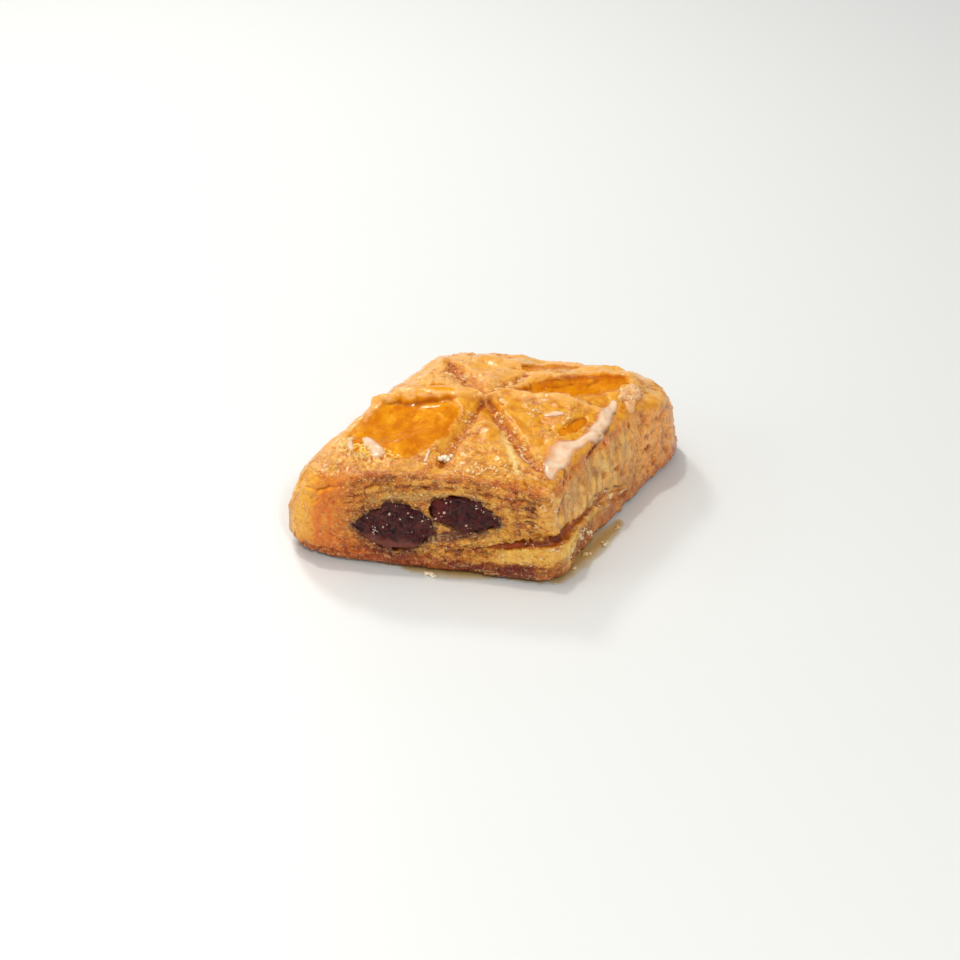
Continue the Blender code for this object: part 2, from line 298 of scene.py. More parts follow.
def copyOfNode(node, name):
    pickOnly(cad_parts[node])
    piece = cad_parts[node].copy()
    piece.data = piece.data.copy()
    piece.name = piece.data.name = name
    piece.parent = None
    scene.collection.objects.link(piece)
    pickOnly(piece)
    piece.data.materials.clear()
    bpy.ops.object.mode_set(mode="EDIT")
    bpy.ops.mesh.select_all(action="SELECT")
    bpy.ops.mesh.remove_doubles(threshold=0.00002)
    bpy.ops.object.mode_set(mode="OBJECT")
    return piece


def editFaces(piece, faceIsChosen, operator, **settings):  # runs an edit operator on the chosen faces only
    pickOnly(piece)
    mesh = piece.data
    bpy.ops.object.mode_set(mode="EDIT")
    bpy.ops.mesh.select_mode(type="FACE")
    bpy.ops.mesh.select_all(action="DESELECT")
    bpy.ops.object.mode_set(mode="OBJECT")
    count = len(mesh.polygons)
    centres, normals = np.empty(count * 3, np.float32), np.empty(count * 3, np.float32)
    mesh.polygons.foreach_get("center", centres)
    mesh.polygons.foreach_get("normal", normals)
    mesh.polygons.foreach_set("select", faceIsChosen(centres.reshape(-1, 3) * 1000.0, normals.reshape(-1, 3)))
    bpy.ops.object.mode_set(mode="EDIT")
    operator(**settings)
    bpy.ops.object.mode_set(mode="OBJECT")


def coverGrid(name, routes, step, height):  # a flat grid at one height, over all of the routes
    reach = np.array([row for route in routes for row in route])
    low = (reach[:, :2] - reach[:, 2:]).min(axis=0) - 1
    high = (reach[:, :2] + reach[:, 2:]).max(axis=0) + 1
    bpy.ops.object.select_all(action="DESELECT")
    cells = np.ceil((high - low) / step).astype(int)
    bpy.ops.mesh.primitive_grid_add(x_subdivisions=int(cells[0]), y_subdivisions=int(cells[1]), size=1)
    piece = bpy.context.object
    piece.name = piece.data.name = name
    spots = pointsOf(piece) / 1000
    spots[:, :2] = (low + high) / 2 + spots[:, :2] * (high - low)
    spots[:, 2] = height
    movePoints(piece, spots)
    return piece


def finishPiece(piece, material, replaced=None, crystals=False):
    pickOnly(piece)
    if crystals:
        bpy.ops.object.shade_flat()
    else:
        bpy.ops.object.shade_smooth()
    piece.data.materials.clear()
    piece.data.materials.append(material)
    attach(piece, "root")
    if replaced:
        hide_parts(replaced)
    print(piece.name, "is made:", len(piece.data.polygons), "faces")


# Shader maths as expressions

class Wire:
    def __init__(self, look, socket):
        self.look = look
        self.socket = socket

    def sum(self, operation, *values, clamp=False):
        settings = {"operation": operation, "use_clamp": clamp}
        return self.look.node("ShaderNodeMath", settings, dict(enumerate(values)))

    def __add__(self, other):
        return self.sum("ADD", self, other)

    def __radd__(self, other):
        return self.sum("ADD", other, self)

    def __sub__(self, other):
        return self.sum("SUBTRACT", self, other)

    def __rsub__(self, other):
        return self.sum("SUBTRACT", other, self)

    def __mul__(self, other):
        return self.sum("MULTIPLY", self, other)

    def __rmul__(self, other):
        return self.sum("MULTIPLY", other, self)

    def clamped(self):
        return self.sum("ADD", self, 0.0, clamp=True)

    def ramp(self, low, high):
        sockets = {"Value": self, "From Min": low, "From Max": high}
        return self.look.node("ShaderNodeMapRange", {"interpolation_type": "SMOOTHSTEP"}, sockets)


class Look:
    def __init__(self, name):
        self.material = bpy.data.materials.new(name)
        self.material.use_nodes = True
        self.tree = self.material.node_tree
        self.tree.nodes.clear()
        self.place = self.node("ShaderNodeTexCoord", {}, {}, "Object")

    def node(self, kind, settings, sockets, output=0):
        made = self.tree.nodes.new(kind)
        for key, value in settings.items():
            setattr(made, key, value)
        for key, value in sockets.items():
            if isinstance(value, Wire):
                self.tree.links.new(value.socket, made.inputs[key])
            else:
                made.inputs[key].default_value = value
        return Wire(self, made.outputs[output])

    def attribute(self, name, output="Fac"):
        return self.node("ShaderNodeAttribute", {"attribute_name": name}, {}, output)

    def noise(self, size, detail=2.0, rough=0.5, place=None, stretch=(1, 1, 1)):
        sockets = {"Vector": place or self.place, "Scale": stretch}
        sized = self.node("ShaderNodeMapping", {}, sockets)
        sockets = {"Vector": sized, "Scale": 1 / (size * mm), "Detail": detail, "Roughness": rough}
        return self.node("ShaderNodeTexNoise", {}, sockets)

    def blend(self, share, first, second, mode="MIX"):
        settings = {"data_type": "RGBA", "blend_type": mode, "clamp_factor": True}
        return self.node("ShaderNodeMix", settings, {0: share, 6: first, 7: second}, 2)

    def relief(self, height, depth, under=None):
        sockets = {"Height": height, "Distance": depth * mm, "Strength": 1.0}
        if under is not None:
            sockets["Normal"] = under
        return self.node("ShaderNodeBump", {}, sockets)

    def principled(self, sockets, **settings):
        return self.node("ShaderNodeBsdfPrincipled", settings, sockets)

    def finish(self, shader):
        out = self.tree.nodes.new("ShaderNodeOutputMaterial")
        self.tree.links.new(shader.socket, out.inputs["Surface"])
        return self.material


def hue(red, green, blue):  # a colour given as 0 to 255 in sRGB, made linear
    parts = np.array((red, green, blue)) / 255
    return np.where(parts <= 0.04045, parts / 12.92, ((parts + 0.055) / 1.055) ** 2.4)


def solid(colour):
    return (*colour, 1.0)


# Camera, light and floor

stageSet = {
    "lens": 80,
    "aimAt": (-0.0025, 0.005, 0.0),
    "distance": 0.417,
    "azimuth": 9,
    "elevation": 33.5,
    "floorColour": (0.77, 0.785, 0.775, 1),
    # the sky's brightness by the sine of its height
    "dome": ((0.0, 1.0), (0.17, 0.85), (0.34, 0.28), (0.78, 0.26), (0.95, 0.6)),
    "glossyBelow": 0.2,  # softboxes larger than this only fill, the smaller ones give sheen and glints
    "softboxes": {  # place, size, watts, colour
        "overheadLight": ((-0.22, 0.16, 0.50), 0.40, 0.75, (1, 0.985, 0.96)),
        "leftLight": ((-0.46, -0.16, 0.22), 0.30, 0.5, (1, 0.98, 0.95)),
        "sheenLight": ((-0.20, 0.28, 0.32), 0.08, 0.6, (1, 0.98, 0.95)),
        "sparkLight": ((-0.12, 0.10, 0.50), 0.03, 0.65, (1, 0.97, 0.92)),
        "frontSpark": ((0.12, -0.30, 0.30), 0.06, 0.58, (1, 0.98, 0.95)),
    },
}


def addSoftbox(name, place, size, watts, colour):
    light = bpy.data.lights.new(name, "AREA")
    light.shape = "DISK"
    light.size = size
    light.energy = watts
    light.color = colour
    lamp = bpy.data.objects.new(name, light)
    scene.collection.objects.link(lamp)
    lamp.location = place
    lamp.rotation_euler = (Vector((0, 0, 0.01)) - Vector(place)).to_track_quat("-Z", "Y").to_euler()
    lamp.visible_camera = False
    lamp.visible_glossy = size < stageSet["glossyBelow"]


def makeStage():
    turn = math.radians(stageSet["azimuth"])
    rise = math.radians(stageSet["elevation"])
    back = Vector((math.sin(turn) * math.cos(rise), -math.cos(turn) * math.cos(rise), math.sin(rise)))
    camera = bpy.data.objects.new("camera", bpy.data.cameras.new("camera"))
    scene.collection.objects.link(camera)
    camera.data.lens = stageSet["lens"]
    camera.data.clip_start = 0.01
    camera.location = Vector(stageSet["aimAt"]) + back * stageSet["distance"]
    camera.rotation_euler = (-back).to_track_quat("-Z", "Y").to_euler()
    scene.camera = camera
    scene.view_settings.view_transform = "Standard"

    world = bpy.data.worlds.new("studio")
    scene.world = world
    world.use_nodes = True
    nodes, links = world.node_tree.nodes, world.node_tree.links
    direction = nodes.new("ShaderNodeTexCoord")
    parts = nodes.new("ShaderNodeSeparateXYZ")
    band = nodes.new("ShaderNodeValToRGB")
    links.new(direction.outputs["Generated"], parts.inputs[0])
    links.new(parts.outputs["Z"], band.inputs["Fac"])
    links.new(band.outputs["Color"], nodes["Background"].inputs["Color"])
    stops = band.color_ramp.elements
    while len(stops) < len(stageSet["dome"]):
        stops.new(0.5)
    for stop, (height, bright) in zip(stops, stageSet["dome"]):
        stop.position = height
        stop.color = (bright, bright, bright, 1)
    for name, (place, size, watts, colour) in stageSet["softboxes"].items():
        addSoftbox(name, place, size, watts, colour)

    bpy.ops.object.select_all(action="DESELECT")
    bpy.ops.mesh.primitive_plane_add(size=6, location=(0, 0, -0.00005))
    floor = bpy.context.object
    floor.name = "floor"
    bpy.ops.object.transform_apply(location=True, rotation=False, scale=False)
    look = Look("floorFinish")
    shade = look.principled({"Base Color": stageSet["floorColour"], "Roughness": 0.4})
    floor.data.materials.append(look.finish(shade))
    print("stage is ready")


# Dough

leftLobe, leftHalf = lobe("date_filling_left")
rightLobe, rightHalf = lobe("date_filling_right")
panelHeading = between("nearLeft", "nearRight")
panelTip = fromScore(panelHeading, 12)
panelRoute = sweep(panelTip, panelHeading, 13, (2.6, 3.6, 4.6, 5.2))

doughSet = {
    "voxel": 0.00054,
    "highest": 20.75,
    "highestEase": 0.5,  # from this far below it, what rises higher is eased down
    "hiddenShare": 0.12,  # of the faces that nobody sees, this share is kept
    "hiddenRound": 1.2,  # how far out from the date ropes the channel's faces are hidden
    "furrows": (  # each spreads from the middle of the score, with its depth
        (sweep(scoreAt, *creases["nearRight"], (0.9, 1.9, 2.0, 1.5), 0.6), 0.85),
        (sweep(scoreAt, *creases["nearLeft"], (0.9, 1.4, 1.8, 1.4)), 0.8),
        (sweep(scoreAt, *creases["backLeft"], (1.0, 2.0, 2.4, 1.5)), 0.9),
        (sweep(scoreAt, *creases["backRight"], (1.0, 1.6, 1.4)), 0.85),
    ),
    "ridges": (  # the same, with the height
        (sweep(scoreAt, *creases["left"], (1.4, 2.8, 2.8, 1.6), 2.2), 0.85),
        (sweep(scoreAt, *creases["right"], (1.3, 2.1, 2.1, 1.2), -7), 0.5),
        # between the far hollows
        (join(onCrease("backRight", 0.9), onTop(0.85, 0.85), (0.9, 1.4, 1.6)), 0.3),
        (sweep(fromScore(between("backLeft", "backRight"), 4), 90, 6, (1.3, 1.7, 1.6)), 0.35),
        (sweep(fromScore(between("right", "backRight"), 5), 40, 4, (1.2, 1.5)), 0.5),
    ),
    "panel": panelRoute,  # the pad between the two near furrows
    "panelRim": ring(panelTip, (3, 3), 180, 30, (0.9, 1.2, 1.3))
    + sweep(panelTip + (3, 1), -70, 14, (1.3, 1.7, 1.2)),
    "flakyPatch": join(onTop(0.15, 0.25), onTop(0.35, 0.15), (2.6, 4.2, 3.4, 2.2), 1.5),
    "pinkLump": join(onTop(0.9, 0.65), onTop(0.85, 0.75), (1.5, 2.4, 2.2)),
    "pools": {  # deeper syrup, in the CAD's hollows and between the creases
        "left": filledHollow("left", 1.3),
        "apron": sweep(onCrease("left", 0.3) + (0, -6), -116, 14.5, (3.0, 5.4, 4.4)),
        "right": filledHollow("right", 1.5),
        "back": filledHollow("back", 1.25),
        "nearRight": oval(fromScore(between("nearRight", "right"), 19), (4.0, 1.7), 60),
    },
    # where the bottom layer parts from the block: it climbs over the front face, then falls along the wall
    "crackSpan": (-3.5, 16.5),
    "crackHeight": (4.5, 8.5),
    "crackWidth": (0.3, 1.0),
    "crackWall": join(wallAt(0.03, 0.42), wallAt(0.3, 0.3), (1.0, 0.7, 0.5)),
    "crackHealed": (-8, 0),  # along the right wall the fold closes between these places
    "stains": (  # where the paste has stained the crumb round the filling
        ring(leftLobe, leftHalf + 1, 180, 80, (0.8, 0.9, 0.8)),
        ring(leftLobe, leftHalf + 1, 185, 350, (0.8, 1.0, 1.5)),
        ring(rightLobe, rightHalf + 0.8, 190, 350, (1.5, 0.8, 0.6)),
    ),
    # a pale band just above the left lobe, painted sheen
    "khakiRim": sweep(leftLobe + (-1, leftHalf[1] + 1.5), 5, 10, (0.7, 1.1, 0.7)),
    # paste rubbed onto the crumb between the lobes
    "smear": join(leftLobe + leftHalf * (0.9, -0.4), rightLobe + rightHalf * (0.6, -0.8), (1.0, 1.3, 0.8)),
    # the right wall, as how far along it and how high
    "dentCount": 12,
    "dentReach": (0.8, 1.2),
    "dentDepth": (0.2, 0.45),
    "scatterEnd": (46, 17),  # dents and folds lie no farther along and no higher than this
    "cornerPit": sweep(wallAt(0.1, 0.6), 90, 1.5, (0.9, 0.9)),
    "recess": join(wallAt(0.3, 0.35), wallAt(0.5, 0.15), (0.7, 1.5, 1.8, 1.1)),
    "film": join(wallAt(0.1, 0.2), wallAt(0.25, 0.15), (1.6, 2.4, 1.6)),  # brown syrup below the fold
    "coatEdges": (  # where a second coat of syrup ends in a thin dark line
        join(wallAt(0.6, 0.9), wallAt(0.3, 0.85), (0.32, 0.36), 0.8),
        join(wallAt(0.2, 0.9), wallAt(0.05, 0.75), (0.36, 0.32), 2.5),
        # this line runs along the recess's top edge, where it is painted shade
        join(wallAt(0.3, 0.42), wallAt(0.5, 0.25), (0.3, 0.5, 0.3)),
    ),
    "foldCount": 8,
    "foldReach": (0.6, 1.6),
    "lipRise": 0.85,  # how far the top's front edge stands out over the cut face
    "furrowRounds": 24,  # rounds of smoothing that take out the CAD's furrows, before finer ones are made
    "crackRounds": 3,  # the same, which round off the crack's edges
    "hollowRounds": 6,  # and these give the level against which a point counts as sunk
}

# How high or deep each part of the relief is, in millimetres
cutHeights = {
    "broad": 0.32, "fine": 0.16, "crumb": 0.42, "grit": 0.28, "split": 0.3,
    "crust": 0.28, "torn": 0.4, "under": 0.4,
}
wallHeights = {
    "hills": (0.3, 0.3, 0.14), "wrinkle": 0.14, "grit": 0.1, "cornerPit": 0.35, "fold": 0.34,
    "recess": 0.8, "band": 0.14, "pock": 0.15, "crumb": 0.4, "fineCrumb": 0.25,
}
topHeights = {
    "lumps": 0.42, "fineLumps": 0.16, "wrinkles": 0.08, "ridgeWrinkles": 0.1, "flecks": 0.12,
    "crumb": 0.22, "fineCrumb": 0.14, "panel": 0.42, "rim": 0.2, "pool": 0.35, "flakes": 0.42,
}
layers = {  # in the cut face: the middle's height, the spread round the filling, and where they turn back
    "middle": 9, "spread": 0.45, "spreadAt": -7, "spreadReach": 11, "turnAt": 23.5,
}

tones = {
    "golden": hue(234, 166, 36), "goldenDeep": hue(218, 138, 8), "amber": hue(220, 148, 0),
    "amberPale": hue(238, 182, 14), "pinkSheen": hue(242, 183, 98), "orange": hue(214, 114, 0),
    "rust": hue(176, 76, 0), "cream": hue(252, 222, 140), "crumb": hue(250, 172, 50),
    "crumbDeep": hue(216, 122, 16), "crumbLight": hue(254, 200, 84), "split": hue(118, 50, 0),
    "endOrange": hue(234, 126, 0), "endYellow": hue(252, 188, 56), "lowOrange": hue(224, 94, 0),
    "crust": hue(176, 62, 0), "deepRed": hue(206, 84, 0), "tongue": hue(255, 200, 84),
    "khaki": hue(250, 196, 96), "khakiDeep": hue(222, 152, 58), "khakiPale": hue(254, 222, 154),
    "mauve": hue(128, 62, 42), "stain": hue(108, 40, 20), "edge": hue(216, 112, 0),
    "paleSheen": hue(218, 166, 92), "poolLine": hue(190, 100, 0), "dark": hue(90, 34, 0),
    "film": hue(162, 92, 40), "tan": hue(248, 172, 78), "pinkCrust": hue(248, 202, 156),
    "specks": hue(206, 108, 20), "sole": hue(132, 36, 0),
}


def measure(p, n):  # where each point lies on the pastry
    y, z = p[:, 1], p[:, 2]
    side = n @ wallOut
    atFront = ramp(-y, 19, 22)
    rise = n[:, 2] - 0.26 * atFront
    lean = -n[:, 1] + 0.3 * ramp(z, 14.5, 16) * ramp(-n[:, 1], 0.1, 0.4)
    ground = {
        "across": acrossAt(p),
        "top": ramp(rise, 0.42, 0.68 + 0.1 * (1 - atFront)) * ramp(z, 11, 14),
        "front": ramp(lean, 0.4, 0.8) * ramp(-y, 18, 21),
        "back": ramp(n[:, 1], 0.4, 0.8) * ramp(y, 18, 21),
        "right": ramp(side, 0.45, 0.85),
        "left": ramp(-side, 0.45, 0.85),
    }
    ground["cut"] = np.maximum(ground["front"], ground["back"])
    return ground


# The cut face's layers spread round the filling and turn back on themselves at the left end
def layerPlace(p, across):
    z = p[:, 2]
    spread = layers["spread"] * np.exp(-(((across - layers["spreadAt"]) / layers["spreadReach"]) ** 2))
    layer = (z - layers["middle"]) / (1 + spread)
    layer = layer + 0.10 * np.clip(across - 4, 0, 12)
    turned = np.hypot(np.clip(-layers["turnAt"] - across, 0, 20), layer) * np.sign(layer + 1e-6)
    layer = np.where(across < -layers["turnAt"], turned, layer)
    seam = ramp(-across, 22.5, 24) * (1 - ramp(np.abs(layer), 0.2, 2))
    return np.stack((across, p[:, 1], layer), axis=1), seam


def cutRelief(p, ground, marks):
    z, across = p[:, 2], ground["across"]
    flow, seam = layerPlace(p, across)
    marks["flowPlace"] = np.abs(flow)
    broad = hills(flow, (6, 6, 1.5), 1)
    fine = hills(flow, (2.6, 2.6, 0.8), 2)
    thin = np.abs(hills(flow, (6.5, 6.5, 1.15), 3))
    patchy = ramp(hills(p, 4.5, 4), -0.25, 0.25)
    split = (1 - ramp(thin, 0.02, 0.11)) * patchy * (1 - seam)
    crumb = 0.55 - pebbles(wavy(p, 2.0, 0.4, 65), (1.5, 1.3, 1.1), 5)
    grit = 0.5 - pebbles(p, 0.55, 6)
    smoothEnd = ramp(-across, 20.5, 26) * ramp(z, 2, 5)
    low = 1 - ramp(z + 0.8 * hills(p, (4, 4, 9), 7), 1.8, 4.4)
    high = cutHeights
    push = (high["broad"] * broad + high["fine"] * fine) * (1 - seam)
    push = push + high["crumb"] * crumb + high["grit"] * grit - high["split"] * split
    push *= 1 - 0.4 * smoothEnd
    push += 0.25 * smoothEnd * hills(p, 3.2, 61)
    push += low * (0.15 + 0.25 * crumb)

    # A crust lies over the crumb, with a torn line under it and a thinner one lower down
    crustLine = 18 - 3.6 * ramp(-across, 14, 31) - 1.2 * ramp(across, 2, 15)
    ragged = crustLine + 0.35 * hills(p, (2.2, 2.2, 9), 8)
    torn = np.exp(-(((z - ragged) / 0.32) ** 2)) * ramp(hills(p, (3.5, 3.5, 9), 9), -0.5, 0.1)
    under = np.exp(-(((z - ragged + 1.35 + 0.4 * hills(p, (5, 5, 9), 10)) / 0.26) ** 2))
    under *= ramp(hills(p, (7, 7, 9), 11), -0.35, 0.2) * (1 - smoothEnd)
    crust = high["crust"] * ramp(z, ragged, ragged + 0.8) * (1 - ramp(-across, 20, 24))
    push += crust - high["torn"] * torn - high["under"] * under
    torn *= 1 - ramp(-across, 16, 22)
    under *= 1 - ramp(-across, 16, 22)
    marks["crustEdge"] = np.clip(torn + 0.8 * under, 0, 1)
    marks["crustBand"] = ramp(z, ragged - 0.3, ragged + 0.3) * (1 - 0.8 * ramp(-across, 16, 24))
    marks.update(split=split, smoothEnd=smoothEnd, low=low, crumb=crumb)
    return push


def wallRelief(p, ground, marks):
    high = wallHeights
    broad, middle, fine = high["hills"]
    push = broad * hills(p, 5.5, 12) + middle * hills(p, 2.8, 13) + fine * hills(p, 1.1, 14)
    wrinkle = 1 - 2 * np.abs(hills(wavy(p, 2.5, 0.5, 90), (1.8, 1.8, 6.5), 15))
    push += high["wrinkle"] * wrinkle + high["grit"] * (0.5 - pebbles(p, 0.7, 16))
    marks["wrinkle"] = np.clip(wrinkle, 0, 1)
    lumps = pebbles(wavy(p, 3, 0.6, 45), (3.0, 3.0, 3.6), 46)
    marks["gaps"] = ramp(lumps, 0.55, 0.85)
    rng = np.random.default_rng(5)
    bent = onWall(wavy(p, 1.6, 0.25, 17))
    atWall = ramp(ground["across"], 9, 11)
    dent = high["cornerPit"] * ramp(stroke(bent, doughSet["cornerPit"]), 0, 0.6)
    for _ in range(doughSet["dentCount"]):
        place = rng.uniform((8, 4), doughSet["scatterEnd"])
        radius, depth = rng.uniform(*doughSet["dentReach"]), rng.uniform(*doughSet["dentDepth"])
        gap = np.linalg.norm(bent - place, axis=1) / radius
        dent = np.maximum(dent, depth * (1 - ramp(gap, 0.4, 1.0)))
    recess = ramp(stroke(bent, doughSet["recess"]), 0, 0.6) * ground["right"]
    film = stroke(bent, doughSet["film"])
    upright = np.zeros(len(p))
    for _ in range(doughSet["foldCount"]):
        top = rng.uniform((6, 11), doughSet["scatterEnd"])
        reach = rng.uniform(*doughSet["foldReach"])
        heading, length, bend = rng.uniform(-115, -65), rng.uniform(2.5, 8), rng.uniform(-2, 2)
        fold = sweep(top, heading, length, (0.6 * reach, reach, 0.5 * reach), bend)
        upright = np.maximum(upright, raised(bent, [(fold, 1)]))
    line = np.max([ramp(stroke(bent, route), 0.0, 0.8) for route in doughSet["coatEdges"]], axis=0)
    line = np.maximum(line, 0.8 * rimOf(film)) * atWall
    band = hills(wavy(p, 4, 0.6, 93), (1.5, 1.5, 12), 94)
    marks["line"] = line * ramp(hills(p, 1.5, 95), -0.6, -0.1)
    marks.update(band=band, recess=recess)
    marks["dent"] = np.clip(dent, 0, 1) * ground["right"]
    marks["upright"] = upright * ground["right"]
    marks["film"] = ramp(film, 0, 0.4) * ground["right"]
    lumpy = (0.3 + 0.5 * ground["right"]) * (0.5 - lumps)
    folded = lumpy + high["fold"] * upright - dent * ground["right"]
    push += folded - high["recess"] * recess + high["band"] * band
    pock = ramp(hills(p, 1.3, 18), 0.42, 0.62) * ramp(hills(p, 6, 19), 0.0, 0.4) * ramp(p[:, 1], -4, 6)
    marks["pock"] = pock
    crumbs = high["crumb"] * (0.55 - pebbles(p, 1.1, 62)) + high["fineCrumb"] * hills(p, 1.8, 63)
    return push + ramp(p[:, 1], 1, 9) * crumbs - high["pock"] * pock


def topRelief(p, marks):
    flat = wavy(p, 2.2, 0.45, 20)[:, :2]
    edgy = wavy(p, 1.1, 0.35, 23)[:, :2]
    pool = np.zeros(len(p))
    for route in doughSet["pools"].values():
        pool = np.maximum(pool, ramp(stroke(edgy, route), 0.0, 0.28))
    furrow = raised(flat, doughSet["furrows"])
    ridge = raised(flat, doughSet["ridges"])
    panel = ramp(stroke(flat, doughSet["panel"]), 0.0, 0.35)
    rim = raised(flat, [(doughSet["panelRim"], 1)])
    ridgeShare = np.clip(ridge / 0.5, 0, 1)
    grainy = 0.7 * ramp(-p[:, 1] + 3 * hills(p, 4, 24), 9, 18)
    grainy = grainy + ramp(hills(p, 4.5, 25), 0.0, 0.45) * 0.7 + furrow
    grainy = 0.72 * np.clip(grainy, 0, 1) * (1 - 0.9 * pool) * (1 - 0.8 * ridgeShare)
    high = topHeights
    lumps = high["lumps"] * hills(p, 4.4, 26) + high["fineLumps"] * hills(p, 2.0, 27)
    wrinkles = high["wrinkles"] * (1 - 2 * np.abs(hills(wavy(p, 3, 0.8, 29), (1.5, 3.2, 3), 32)))
    furled = 1 - 2 * np.abs(hills(wavy(p, 3, 0.6, 50), (4, 0.9, 3), 51))
    wrinkles += high["ridgeWrinkles"] * ridgeShare * furled
    wrinkles -= flecks(p, high["flecks"])
    crumbs = high["crumb"] * (0.55 - pebbles(p, 0.9, 28)) + high["fineCrumb"] * hills(p, 0.9, 38)
    push = (lumps + wrinkles) * (1 - 0.5 * pool) + grainy * crumbs
    sunk = high["pool"] * pool * (1 - np.clip(ridge * 2, 0, 1))
    push += ridge - furrow + high["panel"] * panel + high["rim"] * rim - sunk
    flaky = ramp(stroke(flat, doughSet["flakyPatch"]), 0.0, 0.3)
    scribble = 1 - ramp(np.abs(hills(wavy(p, 1.3, 0.6, 33), (0.8, 1.7, 1.7), 36)), 0.05, 0.25)
    push += flaky * (high["flakes"] * scribble - 0.15)
    lump = stroke(wavy(p, 3.2, 1.3, 53)[:, :2], doughSet["pinkLump"])
    pinkLump = ramp(lump, 0.0, 0.4)
    marks["line"] = np.maximum(marks["line"], 0.3 * rimOf(lump) * ramp(p[:, 2], 14, 16))
    push += pinkLump * (0.3 + 0.25 * scribble - 0.12)
    marks["pool"] = pool * (1 - ramp(ridge, 0.1, 0.4)) * (1 - 0.8 * panel)
    marks["poolEdge"] = np.exp(-(((ridge - 0.14) / 0.1) ** 2)) * pool
    marks["ridge"] = np.clip(ridgeShare + 0.8 * rim, 0, 1)
    marks.update(furrow=furrow, grainy=grainy, rim=rim, scribble=scribble, flaky=flaky, pinkLump=pinkLump)
    return push


def crackRelief(p, ground, marks):
    bent = wavy(p, 1.0, 0.32, 37)
    route = []
    place, height, reach = (doughSet[key] for key in ("crackSpan", "crackHeight", "crackWidth"))
    for share in np.linspace(0, 1, 8):
        route.append((mixed(*place, share), mixed(*height, ramp(share, 0, 1)), mixed(*reach, share)))
    atFront, atWall = ramp(-p[:, 1], 19, 21), ramp(ground["across"], 11, 13.5)
    onFace, alongWall = np.stack((acrossAt(bent), bent[:, 2]), axis=1), onWall(bent)
    face = np.where(atFront > 0, stroke(onFace, route), -9) * np.maximum(atFront, 0.01)
    wall = np.where(atWall > 0, stroke(alongWall, doughSet["crackWall"]), -9)
    crack = ramp(face, 0.0, 0.7) * ramp(ground["across"], -3, 12)
    crack = np.maximum(crack, 0.75 * ramp(wall, 0.0, 0.7) * atWall)
    thin = ramp(face, 0.35, 0.8)
    marks["crack"] = np.maximum(crack, thin)
    above = (0, 0.6)
    faceShade = stroke(onFace - above, route) * atFront
    wallShade = stroke(alongWall - above, doughSet["crackWall"]) * atWall
    marks["crackShade"] = ramp(np.maximum(faceShade, wallShade), 0.1, 0.6)
    return 0.9 * crack + 0.3 * thin


def coated(colour, *coats):  # tones laid over a colour in turn, each with its share at each point
    for tone, share in coats:
        colour = dyed(colour, tones[tone], share)
    return colour


def topTint(p, marks, broad, middle, small):
    x, y = p[:, 0], p[:, 1]
    grainy = marks["grainy"]
    veins = ramp(hills(wavy(p, 4, 0.8, 98), (5, 1.1, 3), 99), -0.35, 0.25)
    baked = coated(
        tones["golden"],
        ("goldenDeep", ramp(middle, 0.35, 0.7)),
        # the pink on the far part, the left part and the ridges is painted sheen laid over the baked colour
        ("pinkSheen", ramp(y - 0.25 * x + 4 * (broad - 0.5), 3, 11) * 0.75),
        ("pinkSheen", ramp(-x + 0.3 * y + 3 * (broad - 0.5), 19, 24) * 0.6),
        ("orange", grainy * ramp(middle, 0.5, 0.9) * 0.6),
        ("cream", grainy * ramp(small, 0.6, 0.9) * 0.45),
        ("orange", np.clip(marks["furrow"] * 1.3, 0, 1) * (0.45 + 0.5 * broad)),
        ("pinkSheen", np.clip(marks["ridge"] * (0.45 + 0.55 * veins), 0, 1) * 0.95),
        ("golden", (1 - veins) * (1 - grainy) * 0.5),
        ("specks", flecks(p) * 0.45),
        # cream on the pad's raised rim: partly its own pale crust, partly painted highlight
        ("cream", np.clip(marks["rim"] - 0.1, 0, 1) * ramp(x, 0, 3) * 0.9),
    )
    syrup = dyed(tones["amber"], tones["amberPale"], ramp(broad, 0.5, 0.9) * 0.6)
    return coated(
        dyed(baked, syrup, marks["pool"]),
        # a darker line where the ridges meet the pools: partly the syrup's edge, partly painted shade in that
        # crease
        ("poolLine", marks["poolEdge"] * 0.8),
        ("edge", ramp(-y + 0.8 * small, 21.5, 24.0) * (0.4 + 0.4 * middle)),
    )


def sideTint(p, ground, marks, broad, middle, small):
    y, z = p[:, 1], p[:, 2]
    drips = ramp(hills(wavy(p, 3, 0.8, 54), (2.4, 2.4, 5.5), 55), 0.0, 0.4)
    return coated(
        tones["khaki"],
        ("khakiDeep", ramp(0.5 * middle + 0.5 + 0.6 * marks["band"], 0.5, 1.0)),
        ("tan", ramp(y + 3 * (broad - 0.5), 1, 9)),
        ("crust", ramp(y, 2, 9) * ramp(small, 0.62, 0.9) * 0.35 * ground["right"]),
        ("edge", ramp(z + 2 * (broad - 0.5), 15.0, 17.0) * (1 - ramp(y, 2, 9)) * 0.75),
        ("film", drips * (0.05 + 0.3 * middle) * (0.2 + 0.8 * ground["right"])),
        ("khakiPale", np.clip(marks["upright"] * 0.6 + marks["wrinkle"] * 0.12 * middle, 0, 1) * 0.4),
        # syrup brown in the low gaps between the wall's lumps: partly syrup, partly painted shade
        ("film", marks["gaps"] * (0.25 + 0.35 * middle) * ground["right"]),
        ("orange", np.clip(marks["dent"] * 2.2, 0, 0.8)),
        ("goldenDeep", marks["recess"] * (0.5 + 0.5 * middle)),
        ("crust", marks["pock"] * 0.5),
        ("film", marks["film"] * 0.85),
        ("crust", marks["low"] * 0.6),
    )


